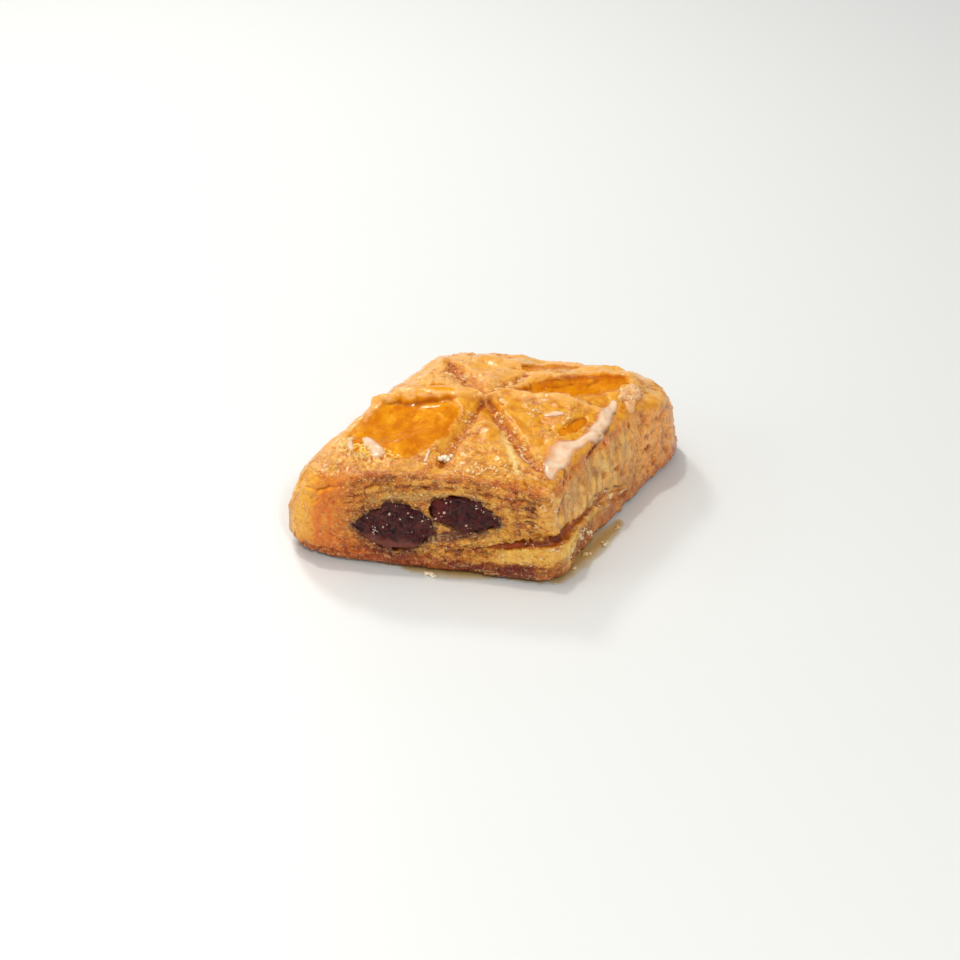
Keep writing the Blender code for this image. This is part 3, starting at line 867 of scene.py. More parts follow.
def cutTint(p, ground, marks, broad, middle, small):
    across, z = ground["across"], p[:, 2]
    crumb = coated(
        tones["crumb"],
        ("crumbDeep", ramp(middle, 0.35, 0.75)),
        ("crumbLight", ramp(small, 0.55, 0.85) * 0.6),
        ("crumbLight", ramp(across, -3, 2) * (1 - ramp(z, 8, 11)) * ramp(z, 4.5, 6) * 0.4),
        ("lowOrange", ramp(-across, 8, 14) * (1 - ramp(z, 3, 6.5)) * (0.35 + 0.65 * broad)),
        ("orange", ramp(across, 2, 6) * ramp(z, 13.2, 15) * ramp(middle, 0.3, 0.7)),
        # lighter on the raised crumbs and darker between them and in the carved fissures, following the
        # relief: painted light and shade
        ("crumbLight", ramp(marks["crumb"], 0.15, 0.4) * 0.5),
        ("split", ramp(-marks["crumb"], -0.02, 0.2) * 0.45),
        ("split", marks["split"] * 0.7),
        ("crust", marks["low"] * (0.5 + 0.5 * middle)),
        ("endOrange", ramp(-across, 16, 20) * (0.3 + 0.3 * middle)),
    )
    toEnd = ramp(-across + 4 * (broad - 0.5) + 3 * (middle - 0.5), 22.0, 33.0)
    streaks = ramp(hills(wavy(p, 4, 1.2, 96), (1.2, 3, 4), 97), -0.1, 0.35)
    leftEnd = coated(
        tones["endOrange"],
        ("endYellow", toEnd * (0.45 + 0.55 * ground["front"])),
        ("lowOrange", streaks * (1 - ramp(-across, 27, 31)) * 0.6),
        ("endYellow", ramp(small, 0.6, 0.9) * 0.35),
        ("lowOrange", (1 - ramp(z, 4, 9)) * (0.3 + 0.5 * broad) * (1 - 0.7 * ramp(-across, 26, 29))),
    )
    layered = ramp(hills(wavy(p, 5, 0.5, 43), (7, 7, 0.8), 44), 0.0, 0.4)
    spot = np.stack((across, z), axis=1) + 0.4 * (small[:, None] - 0.5)
    stain = np.max([ramp(stroke(spot, route), 0.0, 0.7) for route in doughSet["stains"]], axis=0)
    # the pale band above the left lobe is painted sheen
    paleSheen = ramp(stroke(spot, doughSet["khakiRim"]), 0, 0.6) * ground["front"]
    smear = ramp(stroke(spot, doughSet["smear"]), 0, 0.5)
    return coated(
        dyed(crumb, leftEnd, marks["smoothEnd"]),
        # the torn lines under the crust are carved grooves: partly their own colour, partly painted shade in
        # them
        ("rust", marks["crustEdge"] * 0.65),
        ("edge", marks["crustBand"] * (1 - marks["crustEdge"]) * (0.6 + 0.4 * middle)),
        ("rust", marks["crustBand"] * layered * 0.35),
        ("paleSheen", paleSheen * 0.8),
        ("stain", stain * ground["front"] * (0.25 + 0.4 * middle)),
        ("mauve", smear * ground["front"] * 0.85),
    )


def doughTint(p, ground, marks):
    x, y, z = p.T
    across = ground["across"]
    broad = 0.5 + 0.5 * np.clip(hills(p, 5.5, 40), -1, 1)
    middle = 0.5 + 0.7 * np.clip(hills(p, 1.9, 41), -0.7, 0.7)
    small = 0.5 + 0.7 * np.clip(hills(p, 0.9, 42), -0.7, 0.7)
    side = sideTint(p, ground, marks, broad, middle, small)
    cut = cutTint(p, ground, marks, broad, middle, small)
    top = topTint(p, marks, broad, middle, small)
    tint = dyed(dyed(side, cut, ground["cut"]), top, ground["top"])
    tint = dyed(tint, tones["stain"], ramp(marks["halo"] + 0.4 * (middle - 0.5), 0.35, 0.8) * 0.9)

    # The bottom layer's ledge under the fold, its corner, and the browned sole under both
    corner = ramp(across, 11.6, 14.0) * (1 - ramp(y, -23.6, -21.6)) * ramp(z, 8.6, 10)
    corner = corner * (1 - ramp(x + 0.5 * y, 4.2, 5.2))
    ledge = ramp(across, 3, 9) * ramp(z - 0.12 * (across - 6), 2.6, 3.8) * (1 - ramp(z, 7, 8.4))
    ledge = ledge * np.maximum(ground["front"], ground["right"] * ramp(-y, 16, 20))
    marks["ledge"] = np.maximum(ledge, corner)
    tint = dyed(tint, dyed(tones["tongue"], tones["lowOrange"], ramp(middle, 0.6, 0.95) * 0.3), ledge)
    sole = 1 - ramp(z - 0.14 * np.clip(across - 4, 0, 9), 1.8, 3.2)
    sole = sole * ramp(across, -6, 0) * (1 - ramp(across, 13, 15))
    tint = dyed(tint, tones["sole"], sole * ground["front"] * (0.75 + 0.25 * middle))
    tint = dyed(tint, dyed(tones["endOrange"], tones["tongue"], 0.3 + 0.7 * middle), corner * 0.85)

    shade = np.clip(marks["crackShade"] * marks["crack"] * 0.75 + marks["line"] * 0.75, 0, 1)
    flaky = ground["top"] * marks["flaky"]
    return coated(
        tint,
        # darker in the lowest 1.5 mm along the foot: painted contact shade
        ("dark", (1 - ramp(z, 0.3, 1.5)) * 0.7),
        ("deepRed", marks["crack"] * 0.9),
        ("dark", shade),
        ("tan", flaky * (1 - marks["scribble"]) * 0.6),
        ("cream", flaky * marks["scribble"] * 0.9),
        ("pinkCrust", marks["pinkLump"] * (0.55 + 0.4 * marks["scribble"])),
    )


def pasteNear(p, pastes):  # 1 beside the filling, 0 from a little way off
    spots = np.concatenate([pointsOf(paste) for paste in pastes])
    spots = spots[np.abs(spots[:, 1]) > 23]
    tree = KDTree(len(spots))
    for index, spot in enumerate(spots):
        tree.insert(spot, index)
    tree.balance()
    low, high = spots.min(axis=0) - 2, spots.max(axis=0) + 2
    near = np.zeros(len(p))
    for index in np.nonzero((np.abs(p[:, 1]) > nearCuts) & (p > low).all(axis=1) & (p < high).all(axis=1))[0]:
        near[index] = 1 - tree.find(p[index])[2] / 1.5
    return np.clip(near, 0, 1)


def makeDough(pastes):
    dough = copyOfNode("dough", "doughCrumb")
    modify(dough, "REMESH", mode="VOXEL", voxel_size=doughSet["voxel"], use_smooth_shade=True)

    def buried(c, n):
        hidden = (n[:, 2] < -0.9) & (c[:, 2] < 0.4)
        for node in dateSet["nodes"]:
            middle, height, half = ropeAt(node, c[:, 1])
            across = (c[:, 0] - middle) / (half[0] + doughSet["hiddenRound"])
            up = (c[:, 2] - height) / (half[1] + doughSet["hiddenRound"])
            hidden |= (np.hypot(across, up) < 1) & (np.abs(c[:, 1]) < nearCuts)
        return hidden

    def shown(c, n):
        away = (n[:, 1] > 0.6) | (n @ wallOut < -0.6) & (c[:, 1] > -24) & (acrossAt(c) < -20)
        return ~buried(c, n) & ~away & (n[:, 2] > -0.85)

    editFaces(dough, buried, bpy.ops.mesh.decimate, ratio=doughSet["hiddenShare"])
    editFaces(dough, shown, bpy.ops.mesh.subdivide, number_cuts=1, smoothness=0)
    modify(dough, "SHRINKWRAP", target=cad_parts["dough"], wrap_method="NEAREST_SURFACEPOINT")
    modify(dough, "SMOOTH", factor=0.5, iterations=4)

    p, n = pointsOf(dough), normalsOf(dough)
    healed = ramp(p[:, 1], *doughSet["crackHealed"]) * ramp(n @ wallOut, 0.0, 0.3) * ramp(p[:, 2], 1.5, 3)
    for route, _ in doughSet["furrows"]:
        healed = np.maximum(healed, ramp(stroke(p[:, :2], route), -0.2, 0.2) * ramp(p[:, 2], 15, 16))
    p = mixed(p, neighbourMean(dough, p, doughSet["furrowRounds"]), healed[:, None])
    movePoints(dough, p)
    n = normalsOf(dough)
    ground = measure(p, n)
    marks = {"halo": pasteNear(p, pastes)}
    cut = cutRelief(p, ground, marks)
    wall = wallRelief(p, ground, marks)
    top = topRelief(p, marks)
    crack = crackRelief(p, ground, marks)
    push = mixed(mixed(wall, cut, ground["cut"]), top, ground["top"]) * (1 - 0.7 * marks["crack"]) - crack
    push -= 0.22 * marks["line"] + 0.3 * ramp(marks["halo"], 0.3, 0.8)
    lip = 4 * (np.clip(-n[:, 1], 0, 1) * np.clip(n[:, 2], 0, 1)) ** 2 * ramp(p[:, 2], 13, 15)
    push += doughSet["lipRise"] * lip * (1 - ramp(-ground["across"], 22, 27))
    push *= ramp(p[:, 2], 0.2, 1.0)
    moved = p + n * push[:, None]
    ease = doughSet["highestEase"]
    over = np.maximum(moved[:, 2] - doughSet["highest"] + ease, 0)
    moved[:, 2] = np.maximum(moved[:, 2] - over + ease * (1 - np.exp(-over / ease)), 0)
    movePoints(dough, moved)
    softer = neighbourMean(dough, moved, doughSet["crackRounds"])
    moved = mixed(moved, softer, (0.6 * marks["crack"])[:, None])
    movePoints(dough, moved)
    level = neighbourMean(dough, moved, doughSet["hollowRounds"])
    dip = np.einsum("ij,ij->i", level - moved, normalsOf(dough))
    marks["tint"] = doughTint(p, ground, marks)
    paintDough(dough, ground, marks, dip)
    finishPiece(dough, doughFinish(), "dough")
    return dough, ground, marks


def paintDough(dough, ground, marks, dip):
    onEnd = (1 - marks["smoothEnd"]) * (1 - marks["crack"]) * (1 - 0.6 * marks["ledge"])
    rough = (1 - 0.85 * marks["smoothEnd"]) * (1 - 0.4 * marks["crack"]) * (1 - 0.5 * marks["ledge"])
    wet = 0.75 * ground["top"] * (1 - 0.9 * marks["pool"]) + 0.25 * marks["ridge"] * ground["top"]
    wet = wet + 0.9 * ground["right"] + 0.6 * ground["left"] + 0.7 * ground["cut"] + 0.3 * marks["film"]
    paint(dough, "tint", np.clip(marks["tint"], 0, 1))
    # how far each point is sunk below its neighbours, which the material darkens as painted shade
    paint(dough, "cavityShade", np.clip(0.5 + dip * 1.6, 0, 1))
    paint(dough, "crumbly", ground["cut"] * onEnd)
    paint(dough, "grainy", mixed(mixed(0.28, rough, ground["cut"]), marks["grainy"], ground["top"]))
    paint(dough, "calm", marks["pool"] * ground["top"])
    paint(dough, "wet", np.clip(wet, 0, 1))
    paint(dough, "flowPlace", marks["flowPlace"] * mm)


def doughFinish():
    look = Look("syrupSoakedDough")
    calm, cavityShade = look.attribute("calm"), look.attribute("cavityShade")
    crumbly, grainy, wet = look.attribute("crumbly"), look.attribute("grainy"), look.attribute("wet")
    flow = look.attribute("flowPlace", "Vector")
    layers = look.noise(1.1, 5.0, 0.68, flow, (0.3, 0.3, 1.5))
    mottle = look.noise(1.2, 4.0, 0.66)
    streak = look.noise(2.6, 4.0, 0.62, None, (1.4, 0.7, 1))
    speck = look.noise(0.45, 3.0, 0.6)
    grit = look.noise(0.5, 2.0, 0.5)
    tint = look.attribute("tint", "Color")
    dark = look.blend(1.0, tint, solid((0.6, 0.38, 0.12)), "MULTIPLY")
    richer = look.blend(1.0, tint, solid((0.84, 0.62, 0.3)), "MULTIPLY")
    pale = look.blend(0.5, tint, solid(hue(255, 224, 140)))
    colour = look.blend((1 - mottle.ramp(0.36, 0.56)) * (0.25 + 0.35 * grainy), tint, dark)
    colour = look.blend((1 - streak.ramp(0.4, 0.56)) * calm, colour, richer)
    # grit, speck and layer noise also drive the bump: darker where it dips and paler where it rises, partly
    # grain colour, partly painted light and shade
    colour = look.blend((1 - grit.ramp(0.36, 0.48)) * grainy * 0.6, colour, dark)
    colour = look.blend(grit.ramp(0.54, 0.64) * grainy * 0.8, colour, pale)
    colour = look.blend((1 - layers.ramp(0.38, 0.5)) * crumbly * 0.8, colour, dark)
    colour = look.blend(layers.ramp(0.54, 0.66) * crumbly * 0.7, colour, pale)
    colour = look.blend((1 - speck.ramp(0.36, 0.5)) * (1 - calm) * (0.15 + 0.4 * grainy), colour, dark)
    # darker where the surface is sunk: painted shade in pits, creases and furrows
    colour = look.blend(cavityShade.ramp(0.54, 0.74) * 0.85, colour, dark)
    bumpy = speck * 0.7 + grit * 1.6
    normal = look.relief(bumpy * (0.22 + 0.78 * grainy) * (1 - 0.5 * calm), 0.34)
    normal = look.relief(layers * crumbly, 0.6, normal)
    sockets = {
        "Base Color": colour, "Roughness": (0.34 - 0.26 * wet) + 0.14 * mottle, "Normal": normal,
        "Specular IOR Level": 0.42, "Subsurface Weight": 0.3, "Subsurface Radius": (1.0, 0.45, 0.12),
        "Subsurface Scale": 0.0016,
        "Coat Weight": 0.04 + 0.34 * wet, "Coat Roughness": 0.08, "Coat IOR": 1.42,
    }
    shade = look.principled(sockets, subsurface_method="RANDOM_WALK")
    return look.finish(shade)


# Date paste

dateSet = {
    "voxel": 0.00045,
    "spread": 0.55,  # how far the paste is squeezed out at the cut faces, to fill its channel
    "lumpSize": 1.0,
    "hiddenShare": 0.15,  # of the faces inside the dough, this share is kept
    "bits": 800,
    "bitTones": (hue(38, 4, 4), hue(118, 40, 32)),
    "glints": 0.2,  # share of the bits that may shine, in patches
    "glintTone": hue(255, 236, 228),
    "flesh": (hue(78, 10, 10), hue(104, 24, 22)),
    "smeared": hue(124, 60, 44),
    # darker tones for the dips of the paste's relief: painted shade
    "grooves": (hue(30, 4, 6), hue(34, 5, 7)),
    "redEdge": hue(124, 10, 0),
    "nodes": {"date_filling_left": "datePasteLeft", "date_filling_right": "datePasteRight"},
}


def makeDates():
    def inside(c, n):
        return np.abs(c[:, 1]) < 20

    def atCuts(c, n):
        return (np.abs(c[:, 1]) > nearCuts) & (np.abs(n[:, 1]) > 0.3)

    material = dateFinish()
    pastes = []
    for seed, (node, name) in enumerate(dateSet["nodes"].items()):
        paste = copyOfNode(node, name)
        modify(paste, "REMESH", mode="VOXEL", voxel_size=dateSet["voxel"], use_smooth_shade=True)
        editFaces(paste, inside, bpy.ops.mesh.decimate, ratio=dateSet["hiddenShare"])
        editFaces(paste, atCuts, bpy.ops.mesh.subdivide, number_cuts=1, smoothness=0)
        modify(paste, "SMOOTH", factor=0.5, iterations=3)
        p, n = pointsOf(paste), normalsOf(paste)
        low, high = p.min(axis=0), p.max(axis=0)
        middle = (low[0] + high[0]) / 2 + math.tan(slant) * (p[:, 1] - (low[1] + high[1]) / 2)
        outward = np.stack((p[:, 0] - middle, np.zeros(len(p)), p[:, 2] - (low[2] + high[2]) / 2), axis=1)
        outward /= np.linalg.norm(outward, axis=1)[:, None] + 1.5
        atEnd = ramp(np.abs(p[:, 1]), 19, 22.5)
        spread = outward * (dateSet["spread"] * (1.6 + 2.2 * hills(p, 1.9, 64)) * atEnd)[:, None]
        endFace = ramp(np.abs(n[:, 1]), 0.4, 0.8)
        lump = 0.55 - pebbles(p, dateSet["lumpSize"], 50 + seed)
        grit = 0.5 - pebbles(p, 0.45, 52 + seed)
        down = -(p[:, 2] - low[2]) / (high[2] - low[2])
        smooth = ramp(down + 0.1 * hills(p, 2, 57), -0.36, -0.2) * (1 - 0.6 * seed)
        push = (0.75 * lump + 0.6 * grit) * (1 - 0.7 * smooth)
        push = push + 0.35 * hills(p, 2.4, 54 + seed) + 0.25 * hills(p, 1.1, 58) + 0.3
        movePoints(paste, p + spread + n * (push * endFace)[:, None])
        # 1 in the dips between the paste's lumps, where the material paints shade
        paint(paste, "deep", np.clip(0.5 - lump - 0.5 * grit, 0, 1))
        paint(paste, "smear", np.clip(smooth + ramp(hills(p, 3.5, 56), 0.3, 0.6) * 0.5, 0, 1))
        red = np.exp(-(((p[:, 0] - low[0] - 1.6) / 1.4) ** 2)) * (p[:, 1] < 0) * seed
        paint(paste, "red", red)
        finishPiece(paste, material, node)
        pastes.append(paste)
    makeDateBits(pastes)
    return pastes


def makeDateBits(pastes):
    rng = np.random.default_rng(31)
    places, sizes = [], []
    for paste in pastes:
        p, n = pointsOf(paste), normalsOf(paste)
        weight = (np.abs(n[:, 1]) > 0.35) * (np.abs(p[:, 1]) > endCuts)
        weight = weight * ramp(hills(p, 2.2, 59), -0.4, 0.3) * ramp(p[:, 2], 5.2, 7)
        chosen = rng.choice(len(p), dateSet["bits"], replace=False, p=weight / weight.sum())
        size = 0.09 + 0.14 * rng.uniform(0, 1, dateSet["bits"]) ** 2
        places.append(p[chosen] - n[chosen] * size[:, None] * 0.2)
        sizes.append(size)
    places, sizes = np.concatenate(places), np.concatenate(sizes)
    glint = rng.uniform(0, 1, len(places)) < dateSet["glints"] * ramp(hills(places, 1.7, 60), -0.05, 0.4)
    sizes = np.where(glint, rng.uniform(0.1, 0.26, len(places)), sizes)
    dull = mixed(*dateSet["bitTones"], rng.uniform(0, 1, (len(places), 1)))
    tints = np.where(glint[:, None], dateSet["glintTone"], dull)
    bits = joinGrains("dateBits", places, sizes, 0.35, (1, 1, 1), 32, tints)
    finishPiece(bits, grainFinish("dateSkinBits", hue(120, 60, 60), 0.2, 0.6))


def dateFinish():
    look = Look("datePaste")
    patch = look.noise(1.6, 3.0)
    speck = look.noise(0.4, 4.0, 0.65)
    smear = look.attribute("smear")
    flesh, lighter = (solid(tone) for tone in dateSet["flesh"])
    fine, deep = (solid(tone) for tone in dateSet["grooves"])
    colour = look.blend(patch.ramp(0.35, 0.65), flesh, lighter)
    colour = look.blend(smear * 0.85, colour, solid(dateSet["smeared"]))
    # darker in the dips of the fine bump and between the lumps: painted shade
    colour = look.blend((1 - speck.ramp(0.36, 0.52)) * (1 - smear * 0.8), colour, fine)
    colour = look.blend(look.attribute("deep").ramp(0.45, 0.95) * (1 - smear), colour, deep)
    colour = look.blend(look.attribute("red") * 0.8, colour, solid(dateSet["redEdge"]))
    normal = look.relief(speck * (1 - 0.7 * smear), 0.8)
    shade = look.principled({
        "Base Color": colour, "Roughness": 0.08 + 0.24 * speck, "Normal": normal, "Specular IOR Level": 0.5,
        "Coat Weight": 0.25 - 0.2 * smear, "Coat Roughness": 0.05, "Coat IOR": 1.45,
    })
    return look.finish(shade)


# Grains of crumb, sugar and date, each kind one joined piece

grainSet = {
    "glint": hue(255, 246, 220),
    "glintShare": 0.07,
    "wetGlints": 260,  # on the wet ledge, in the recess and on the film
    "knobs": 0.32,  # how far a grain's corners stand in or out
    "sunk": 0.55,  # how deep a crumb sits, as a share of its size
    "cutCrumbs": (4000, (0.09, 0.28)),  # how many, and their sizes
    "wallCrumbs": (700, (0.08, 0.2)),
    "topCrumbs": (1300, (0.10, 0.34)),
}


def joinGrains(name, places, sizes, flatness, along, seed, tint):
    rng = np.random.default_rng(seed)
    bpy.ops.object.select_all(action="DESELECT")
    bpy.ops.mesh.primitive_ico_sphere_add(subdivisions=1, radius=1)
    piece = bpy.context.object
    piece.name = piece.data.name = name
    corner = np.array([v.co for v in piece.data.vertices])
    faces = np.array([face.vertices for face in piece.data.polygons])
    count = len(places)
    turn = np.linalg.qr(rng.normal(size=(count, 3, 3)))[0]
    turn *= np.sign(np.linalg.det(turn))[:, None, None]
    squash = 1 + flatness * rng.uniform(-1, 1, (count, 1, 3))
    knobs = 1 + grainSet["knobs"] * rng.uniform(-1, 1, (count, len(corner), 1))
    shape = (corner * knobs) * squash @ turn
    shape = shape * sizes[:, None, None] * np.asarray(along)
    points = (shape + places[:, None, :]).reshape(-1, 3)
    triangles = (faces[None] + (np.arange(count) * len(corner))[:, None, None]).reshape(-1, 3)
    piece.data.clear_geometry()
    piece.data.from_pydata((points / 1000).tolist(), [], triangles.tolist())
    piece.data.update()
    paint(piece, "own", np.repeat(rng.uniform(0, 1, count), len(corner)))
    paint(piece, "tint", np.repeat(tint, len(corner), axis=0))
    return piece


def grainFinish(name, pale, rough, coat):
    look = Look(name)
    speck = look.noise(0.3, 2.0)
    share = (look.attribute("own") * 0.7 + speck * 0.3).clamped()
    tint = look.attribute("tint", "Color")
    darker = look.blend(1.0, tint, solid((0.8, 0.62, 0.34)), "MULTIPLY")
    colour = look.blend(share, darker, look.blend(0.3, tint, solid(pale)))
    shade = look.principled({
        "Base Color": colour, "Roughness": rough, "Normal": look.relief(speck, 0.1),
        "Specular IOR Level": 0.35, "Coat Weight": coat, "Coat Roughness": 0.06, "Coat IOR": 1.4,
    })
    return look.finish(shade)


def makeCrumbGrains(dough, ground, marks):
    rng = np.random.default_rng(7)
    p, n = pointsOf(dough), normalsOf(dough)
    shownEnd = ground["cut"] * (np.abs(n[:, 1]) > 0.45) * (np.abs(p[:, 1]) > endCuts)
    calmEnd = 1 - 0.8 * marks["smoothEnd"]
    onCut = shownEnd * calmEnd * (1 - marks["crack"]) * (1 - 0.8 * marks["ledge"]) * ramp(p[:, 2], 2.5, 5)
    onWalls = np.maximum(ground["right"], ground["left"]) * (p[:, 2] > 0.6)
    overTop = ground["top"] ** 4 * (marks["grainy"] ** 2 + 0.02) * (1 - marks["pool"])
    places, sizes, tints = [], [], []
    for kind, weight in (("cutCrumbs", onCut), ("wallCrumbs", onWalls), ("topCrumbs", overTop)):
        count, (small, large) = grainSet[kind]
        chosen = rng.choice(len(p), count, replace=False, p=weight / weight.sum())
        size = small + (large - small) * rng.uniform(0, 1, count) ** 2
        drop = n[chosen] * size[:, None] * grainSet["sunk"]
        places.append(p[chosen] - drop + rng.uniform(-0.1, 0.1, (count, 3)))
        sizes.append(size)
        tints.append(marks["tint"][chosen])
    wetPlaces = marks["recess"] + 0.5 * marks["film"] + 0.15 * marks["ledge"]
    wetPlaces = wetPlaces * ramp(hills(p, 2.0, 52), 0.1, 0.4)
    chosen = rng.choice(len(p), grainSet["wetGlints"], replace=False, p=wetPlaces / wetPlaces.sum())
    places.append(p[chosen])
    sizes.append(rng.uniform(0.1, 0.2, len(chosen)))
    tints.append(np.tile(grainSet["glint"], (len(chosen), 1)))
    places, sizes, tints = (np.concatenate(part) for part in (places, sizes, tints))
    bright = ((rng.uniform(0, 1, len(places)) < grainSet["glintShare"]) & (places[:, 2] > 4))[:, None]
    tints = np.where(bright, grainSet["glint"], tints)
    sizes = np.where(bright[:, 0], np.minimum(sizes, 0.16), sizes)
    piece = joinGrains("crumbGrains", places, sizes, 0.3, (1.25, 1, 0.8), 8, tints)
    material = grainFinish("wetCrumb", hue(255, 222, 146), 0.3, 0.7)
    finishPiece(piece, material, crystals=True)


sugarSet = {
    "white": hue(255, 252, 240),
    "cream": hue(250, 208, 134),
    "whiteCluster": (onCrease("nearLeft", 0.9), 26, 0.75, 0.52),  # place, how many grains, spread, grain size
    "furrowClusters": 4,  # crumbs caught in each furrow, along its length
    "panelFoot": sweep(np.array(panelRoute[-1][:2]) - (3, 0), 10, 6, (1, 1)),
    "looseClusters": 6,
    "looseReach": (8, 20),  # how far from the score they lie, on the right and at the back
    "frontFoot": ((leftLobe[0] + rightLobe[0]) / 2, -0.4),  # across, and how far in front of the box's edge
    "wallFoot": (0.1, 0.35, 4),  # from and to along the right wall, and how many clusters
}


def crumbClusters(rng):  # place, how many grains, spread, grain size, tint and where they lie
    yield (*sugarSet["whiteCluster"], "white", "heap")
    for route, _ in doughSet["furrows"]:
        for k in rng.choice(np.arange(1, 6), sugarSet["furrowClusters"], replace=False):
            place = np.array(route[k][:2]) + rng.normal(0, 0.7, 2)
            yield place, rng.integers(3, 8), 0.7, rng.uniform(0.3, 0.46), "cream", "top"
    for x, y, _ in sugarSet["panelFoot"][::2]:
        yield (x, y), rng.integers(4, 9), 1.8, 0.42, "cream", "top"
    for _ in range(sugarSet["looseClusters"]):
        place = fromScore(rng.uniform(-40, 70), rng.uniform(*sugarSet["looseReach"]))
        yield place, rng.integers(3, 7), 0.7, rng.uniform(0.3, 0.4), "cream", "top"
    across, ahead = sugarSet["frontFoot"]
    for k in range(2):
        yield (across + 1.2 * k, boxLow[1] + ahead * k), 7, 0.45, 0.42, "white", "floor"
    first, last, count = sugarSet["wallFoot"]
    for along in np.linspace(first, last, count) + rng.uniform(-0.02, 0.02, count):
        place = besideWall(along, rng.uniform(0.2, 1.6))
        yield place, rng.integers(4, 9), 0.6, rng.uniform(0.36, 0.5), "white", "floor"


def makeSugar(dough):
    rng = np.random.default_rng(21)
    places, sizes, tints = [], [], []
    for (x, y), count, spread, size, tint, where in crumbClusters(rng):
        for _ in range(count):
            dx, dy = rng.normal(0, spread * 0.6, 2)
            own = size * rng.uniform(0.55, 1.1)
            height = 0.0
            if where != "floor":
                hit, spot, _, _ = dough.ray_cast(Vector((x + dx, y + dy, aloft)) * mm, (0, 0, -1))
                height = spot.z * 1000 if hit else 18
            lift = {"heap": rng.uniform(0.4, 1.4), "top": 0.12, "floor": 0.72}[where]
            places.append((x + dx, y + dy, height + own * lift))
            sizes.append(own)
            tints.append(sugarSet[tint])
    places, sizes, tints = np.array(places), np.array(sizes), np.array(tints)
    piece = joinGrains("sugarGrains", places, sizes, 0.35, (1, 1, 0.8), 22, tints)
    points = pointsOf(piece)
    points[:, 2] = np.clip(points[:, 2], 0.02, doughSet["highest"])
    movePoints(piece, points)
    finishPiece(piece, grainFinish("paleSugar", hue(255, 244, 214), 0.4, 0.3))


# Syrup and pale glaze, laid on as thin sheets; parts of the pale glaze are painted highlight

sheetSet = {
    "syrupPools": {
        "step": 0.4, "level": 26, "rise": 0.16, "edge": 0.5, "warp": 0.4, "wander": 0.5,
        "routes": tuple(doughSet["pools"].values()),
    },
    "paleGlazeAndSheen": {
        "step": 0.25, "level": 12, "rise": 0.3, "edge": 0.9, "warp": 0.15, "wander": 0.8,
        "routes": (
            # the long run beside the right edge swings in, spreads and runs on to the front: pale glaze that
            # also paints the highlight along this edge
            join(onTop(0.85, 0.65), onTop(0.9, 0.45), (1.2, 1.8, 1.6), -0.6),
            join(onTop(0.9, 0.45), onTop(0.85, 0.3), (1.6, 1.9, 2.8)),
            join(onTop(0.85, 0.3), onTop(0.9, 0.15), (2.8, 2.4, 1.2)),
            # the patch near the front left corner, pale glaze that also paints a highlight there
            join(onTop(0.2, 0.3), onTop(0.3, 0.2), (1.1, 2.0, 2.1, 2.0)),
            join(onTop(0.15, 0.3), onTop(0.2, 0.2), (0.5, 0.7, 0.5)),
            # flakes and strands
            sweep(fromScore(between("nearRight", "right"), 13), 15, 3, (0.6, 1.2, 0.8)),
            sweep(onCrease("nearRight", 0.7), creases["nearRight"][0], 4, (0.5, 0.55, 0.45)),
            sweep(onCrease("nearLeft", 0.85) - (3, 0), creases["nearLeft"][0], 3, (0.4, 0.45)),
        ),
    },
}


def laySheet(name, dough, plan):
    piece = coverGrid(name, plan["routes"], plan["step"], aloft)

    def thickness(places):
        level = np.c_[places[:, :2], np.zeros(len(places))]
        edgy = wavy(wavy(level, 5.0, plan["wander"], 56), 1.4, plan["warp"], 61)[:, :2]
        return strokes(edgy, plan["routes"])

    def outside(c, n):
        return thickness(c) < -0.35

    editFaces(piece, outside, bpy.ops.mesh.delete, type="FACE")
    downward = {"use_project_z": True, "use_negative_direction": True, "use_positive_direction": False}
    modify(piece, "SHRINKWRAP", target=dough, wrap_method="PROJECT", **downward)
    modify(piece, "SMOOTH", factor=0.5, iterations=plan["level"])
    spots = pointsOf(piece)
    share = thickness(spots)
    inside = np.clip(share / plan["edge"], 0, 1)
    spots[:, 2] += plan["rise"] * (np.sqrt(1 - (1 - inside) ** 2) - 0.35) + 0.6 * np.clip(share, -0.5, 0)
    movePoints(piece, spots)
    modify(piece, "SOLIDIFY", thickness=0.0005, offset=-1)
    paint(piece, "deep", np.clip(thickness(pointsOf(piece)), 0, 1))
    return piece


def syrupFinish(name, thin, deep, sheen, fade=0.5):
    look = Look(name)
    share = look.attribute("deep").ramp(0.0, fade)
    pale = look.node("ShaderNodeBsdfTransparent", {}, {"Color": solid(thin)})
    rich = look.node("ShaderNodeBsdfTransparent", {}, {"Color": solid(deep)})
    clear = look.node("ShaderNodeMixShader", {}, {0: share, 1: pale, 2: rich})
    gloss = look.node("ShaderNodeBsdfGlossy", {}, {"Color": (1, 1, 1, 1), "Roughness": 0.04})
    outside = 1 - look.node("ShaderNodeNewGeometry", {}, {}, "Backfacing")
    edge = look.node("ShaderNodeFresnel", {}, {"IOR": 1.42}) * outside
    return look.finish(look.node("ShaderNodeMixShader", {}, {0: edge * sheen, 1: clear, 2: gloss}))


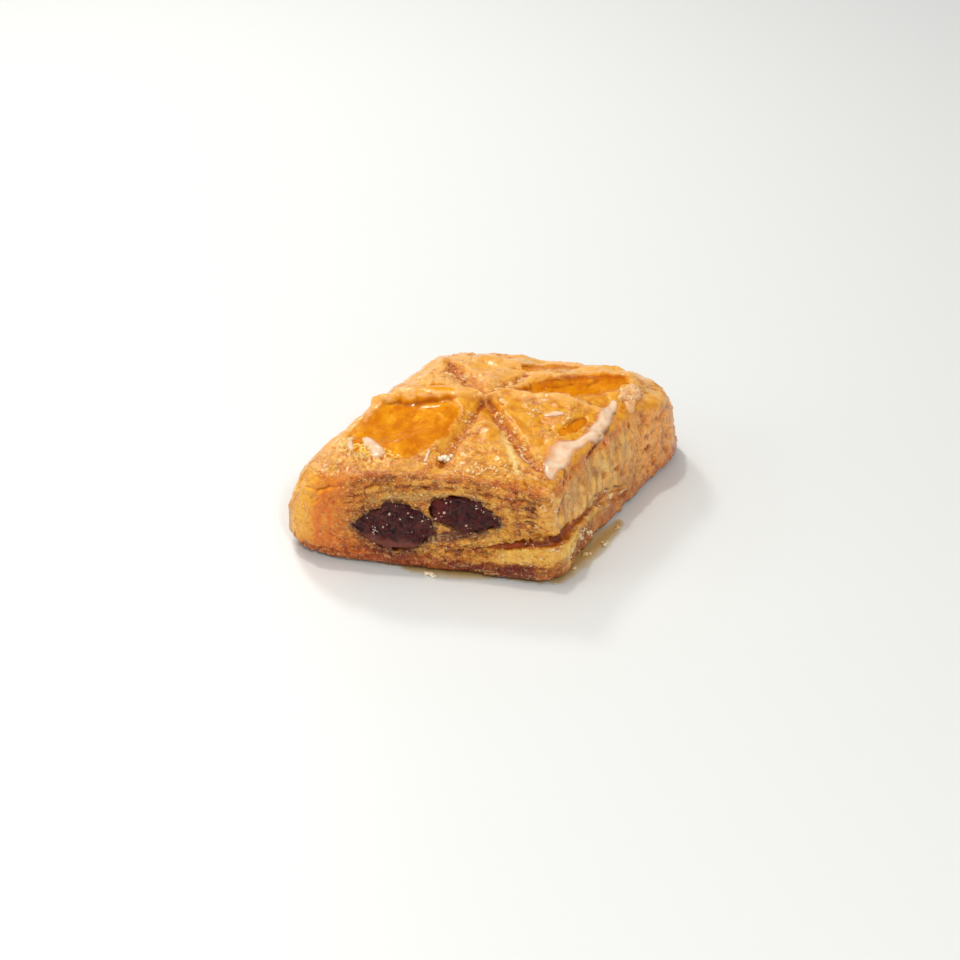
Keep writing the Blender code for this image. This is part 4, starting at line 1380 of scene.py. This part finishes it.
def glazeAndSheenFinish():
    look = Look("setGlazeAndSheen")
    patch = look.noise(1.8, 3.0)
    colour = look.blend(patch.ramp(0.35, 0.65), solid(hue(252, 218, 186)), solid(hue(242, 194, 152)))
    shade = look.principled({
        "Base Color": colour, "Roughness": 0.3, "Normal": look.relief(patch, 0.2), "Specular IOR Level": 0.2,
        "Subsurface Weight": 0.3, "Subsurface Radius": (1.0, 0.6, 0.4), "Subsurface Scale": 0.0008,
        "Coat Weight": 0.9, "Coat Roughness": 0.12,
    })
    clear = look.node("ShaderNodeBsdfTransparent", {}, {"Color": solid(hue(255, 246, 220))})
    body = look.attribute("deep") + (patch - 0.5) * 0.25
    shade = look.node("ShaderNodeMixShader", {}, {0: body.ramp(0.0, 0.7) * 0.92, 1: clear, 2: shade})
    return look.finish(shade)


puddleSet = {
    "step": 0.35,
    "height": 0.55,
    "routes": (
        join(footAt(0.5, 1.4), footAt(0.8, 1.3), (1.2, 2.5, 2.5, 1.4)),
        join(footAt(0.85, 0.9), footAt(0.95, 1.5), (0.9, 1.6)),
        # out from under the right wall
        join(besideWall(0.02, -0.6), besideWall(0.4, 0.4), (1.6, 2.9, 2.7, 1.2)),
        join(footAt(0.25, 3.5), footAt(0.5, 1.7), (0.5, 0.6, 0.9)),
    ),
}


def makePuddles():
    piece = coverGrid("syrupPuddles", puddleSet["routes"], puddleSet["step"], 0)

    def depth(places):
        edgy = wavy(np.c_[places[:, :2], np.zeros(len(places))], 3.0, 0.5, 71)[:, :2]
        return strokes(edgy, puddleSet["routes"])

    def dry(c, n):
        return depth(c) < 0

    editFaces(piece, dry, bpy.ops.mesh.delete, type="FACE")
    modify(piece, "SMOOTH", factor=0.5, iterations=6)
    spots = pointsOf(piece)
    share = np.clip(depth(spots), 0, 1)
    spots[:, 2] = 0.06 + puddleSet["height"] * np.sqrt(1 - (1 - np.clip(share * 1.6, 0, 1)) ** 2)
    movePoints(piece, spots)
    modify(piece, "SOLIDIFY", thickness=0.001, offset=-1)
    spots = pointsOf(piece)
    spots[:, 2] = np.maximum(spots[:, 2], 0)
    movePoints(piece, spots)
    paint(piece, "deep", np.clip(depth(spots), 0, 1))
    finishPiece(piece, syrupFinish("thinSyrup", hue(254, 252, 248), hue(247, 234, 208), 0.9, 1.0))


makeStage()
dough, ground, marks = makeDough(makeDates())
makeCrumbGrains(dough, ground, marks)
makeSugar(dough)
poolSheet = laySheet("syrupPools", dough, sheetSet["syrupPools"])
finishPiece(poolSheet, syrupFinish("deepSyrup", hue(255, 248, 214), hue(254, 240, 150), 0.25))
glazeAndSheenSheet = laySheet("paleGlazeAndSheen", dough, sheetSet["paleGlazeAndSheen"])
finishPiece(glazeAndSheenSheet, glazeAndSheenFinish())
makePuddles()

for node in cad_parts.values():
    node.select_set(False)
